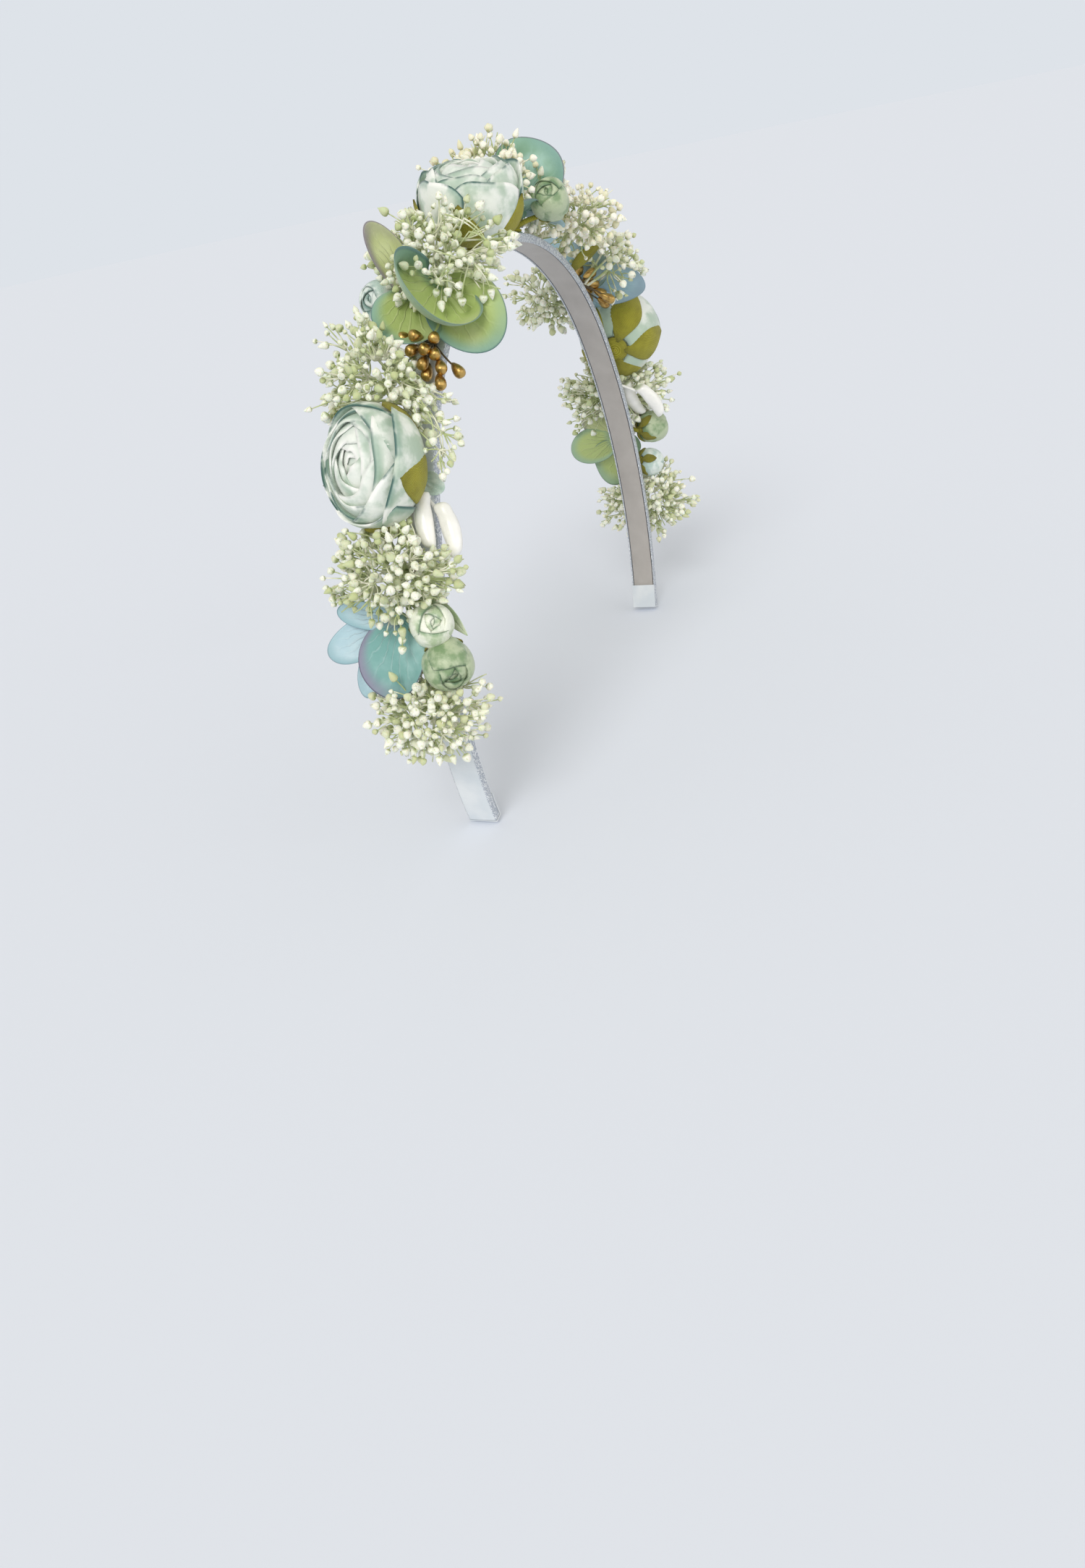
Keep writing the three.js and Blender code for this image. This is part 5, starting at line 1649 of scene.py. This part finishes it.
def grow_spray(seat, strays, wisps, random, room):
    """The branches and heads of a spray, its place on the band and its root."""
    spray = Spray(seat, random, room)
    spray.grow_knots()
    spray.grow_wisps(wisps)
    spray.grow_heads(strays)
    return spray.branches, spray.heads, spray.place, spray.root


def make_spray(name, seat, random, room, forms, form_along):
    """The seed heads and twigs of one spray, as two pieces."""
    strays, wisps = STRAYS.get(name, []), WISPS.get(name, [])
    branches, heads, place, root = grow_spray(seat, strays, wisps, random, room)
    warmth = seat[-2]
    buds, twigs = Skin(), Skin()
    ways = np.array([way for _, way, _ in heads])
    frames = turned_to(ways + random.normal(0, HEAD_SWAY, (len(heads), 3)))
    quads, triangles = ball_faces(*HEAD_GRID)
    for (spot, _, size), turn in zip(heads, frames):
        kind = random.choice(len(forms), p=HEAD_KINDS)
        matrix = placing(turn @ turning(2, random.uniform(0, 360)) * size, spot)
        seed = random.random()
        buds.add(moved(forms[kind], matrix), quads, triangles, along=form_along, seed=seed, tint=warmth)
    owner = "gypsophila_" + name
    buds.make(owner + "_buds", SEED_HEADS, "gypsophila", owner)
    add_dab(twigs, place, root - np.array([0, 0, DAB_SIZE[2] / 2]))
    for level, paths in enumerate(branches):
        taper = np.linspace(*TWIG_TAPER, TWIG_STEPS) * TWIG_DIAMETERS[level] / 2
        add_tubes(twigs, np.array(paths), taper[None], TWIG_SIDES)
    twigs.make(owner + "_twigs", TWIG, "gypsophila")


def make_sprays(eggs):
    forms, form_along = head_forms()
    room = Room(eggs)
    for index, (name, seat) in enumerate(SPRAYS.items()):
        make_spray(name, seat, np.random.default_rng(SEEDS["spray"] + index), room, forms, form_along)


# Camera, light and floor


def crown_frame():
    """The crown's axes as columns, and its origin, as the camera's level frame sees them."""
    right_to_left = np.array([math.sin(CROWN_TURN), math.cos(CROWN_TURN), 0])
    face = np.array([math.cos(CROWN_TURN), -math.sin(CROWN_TURN), 0])
    level_up = np.array([0, 0, 1])
    up = math.cos(CROWN_TILT) * level_up - math.sin(CROWN_TILT) * face
    face = math.cos(CROWN_TILT) * face + math.sin(CROWN_TILT) * level_up
    left = math.cos(CROWN_LEAN) * right_to_left + math.sin(CROWN_LEAN) * up
    up = math.cos(CROWN_LEAN) * up - math.sin(CROWN_LEAN) * right_to_left
    origin = np.array(CROWN_PLACE) - BAND_THICKNESS * up
    return np.stack([left, -face, up], -1), origin


AXES, ORIGIN = crown_frame()


def seen_from_camera(vector):
    """A direction or place in the camera's level frame, turned into the crown's frame."""
    return AXES.T @ np.asarray(vector, float)


def make_camera():
    """The photograph's camera, with its own field of view and tilt."""
    data = bpy.data.cameras.new("camera")
    data.sensor_fit = "AUTO"
    data.sensor_width = SENSOR
    data.lens = FOCAL_PIXELS * SENSOR / PICTURE_HEIGHT
    data.clip_start = CLIP_START
    data.clip_end = CLIP_END
    camera = bpy.data.objects.new("camera", data)
    bpy.context.scene.collection.objects.link(camera)
    ahead = (0, math.cos(CAMERA_PITCH), -math.sin(CAMERA_PITCH))
    above = (0, math.sin(CAMERA_PITCH), math.cos(CAMERA_PITCH))
    columns = [seen_from_camera(v) for v in ((1, 0, 0), above, -np.array(ahead))]
    matrix = placing(np.stack(columns, -1), seen_from_camera(-ORIGIN) * MM)
    camera.matrix_world = Matrix(matrix.tolist())
    bpy.context.scene.camera = camera


def make_floor():
    """A plain round floor just under the band's ends."""
    level = cad_low.z - FLOOR_DROP * MM
    turns = 2 * math.pi * np.arange(FLOOR_SIDES) / FLOOR_SIDES
    points = [(0, 0, level)]
    for radius in FLOOR_RADII:
        points += [(radius * MM * math.cos(t), radius * MM * math.sin(t), level) for t in turns]
    faces = []
    for index in range(FLOOR_SIDES):
        inner, ahead = 1 + index, 1 + (index + 1) % FLOOR_SIDES
        faces += [(0, inner, ahead), (inner, inner + FLOOR_SIDES, ahead + FLOOR_SIDES, ahead)]
    mesh = bpy.data.meshes.new("floor")
    mesh.from_pydata(points, [], faces)
    paint = Paint("floor", FLOOR_ROUGHNESS, Specular_IOR_Level=0, Base_Color=linear(FLOOR_TONE))
    mesh.materials.append(paint.material)
    floor = bpy.data.objects.new("floor", mesh)
    bpy.context.scene.collection.objects.link(floor)
    floor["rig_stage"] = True


def make_world():
    """A pale even world, which the camera sees as the backdrop's colour."""
    world = bpy.data.worlds.new("world")
    bpy.context.scene.world = world
    world.use_nodes = True
    nodes, links = world.node_tree.nodes, world.node_tree.links
    output = nodes["World Output"]
    light = nodes["Background"]
    light.inputs["Color"].default_value = WORLD_COLOUR
    light.inputs["Strength"].default_value = WORLD_STRENGTH
    backdrop = nodes.new("ShaderNodeBackground")
    backdrop.inputs["Color"].default_value = linear(BACKDROP_TONE)
    backdrop.inputs["Strength"].default_value = 1
    path = nodes.new("ShaderNodeLightPath")
    seen = nodes.new("ShaderNodeMath")
    seen.operation = "MAXIMUM"
    glossy = nodes.new("ShaderNodeMath")
    glossy.operation = "MAXIMUM"
    links.new(path.outputs["Is Camera Ray"], seen.inputs[0])
    links.new(path.outputs["Is Glossy Ray"], glossy.inputs[0])
    links.new(path.outputs["Is Transmission Ray"], glossy.inputs[1])
    links.new(glossy.outputs[0], seen.inputs[1])
    mixer = nodes.new("ShaderNodeMixShader")
    links.new(seen.outputs[0], mixer.inputs[0])
    links.new(light.outputs[0], mixer.inputs[1])
    links.new(backdrop.outputs[0], mixer.inputs[2])
    links.new(mixer.outputs[0], output.inputs["Surface"])


def make_lamps():
    """Soft suns, set by the camera's level frame."""
    for name, (way, strength, softness, colour) in LAMPS.items():
        data = bpy.data.lights.new(name, "SUN")
        data.energy = strength
        data.angle = math.radians(softness)
        data.color = colour
        lamp = bpy.data.objects.new(name, data)
        bpy.context.scene.collection.objects.link(lamp)
        towards = Vector(-seen_from_camera(way))
        lamp.rotation_euler = towards.to_track_quat("-Z", "Y").to_euler()


make_camera()
make_band()
round_flowers = make_ranunculi() + make_rosebuds()
for number, (floret_name, floret_seat) in enumerate(FLORETS.items()):
    make_floret(floret_name, floret_seat, np.random.default_rng(SEEDS["floret"] + number))
make_clay_buds()
make_stamens()
for number, (leaf_name, leaf_seat) in enumerate(LEAVES.items()):
    make_leaf(leaf_name, leaf_seat, np.random.default_rng(SEEDS["leaf"] + number))
make_sprays(round_flowers)
make_floor()
make_world()
make_lamps()
bpy.context.scene.view_settings.view_transform = "Standard"
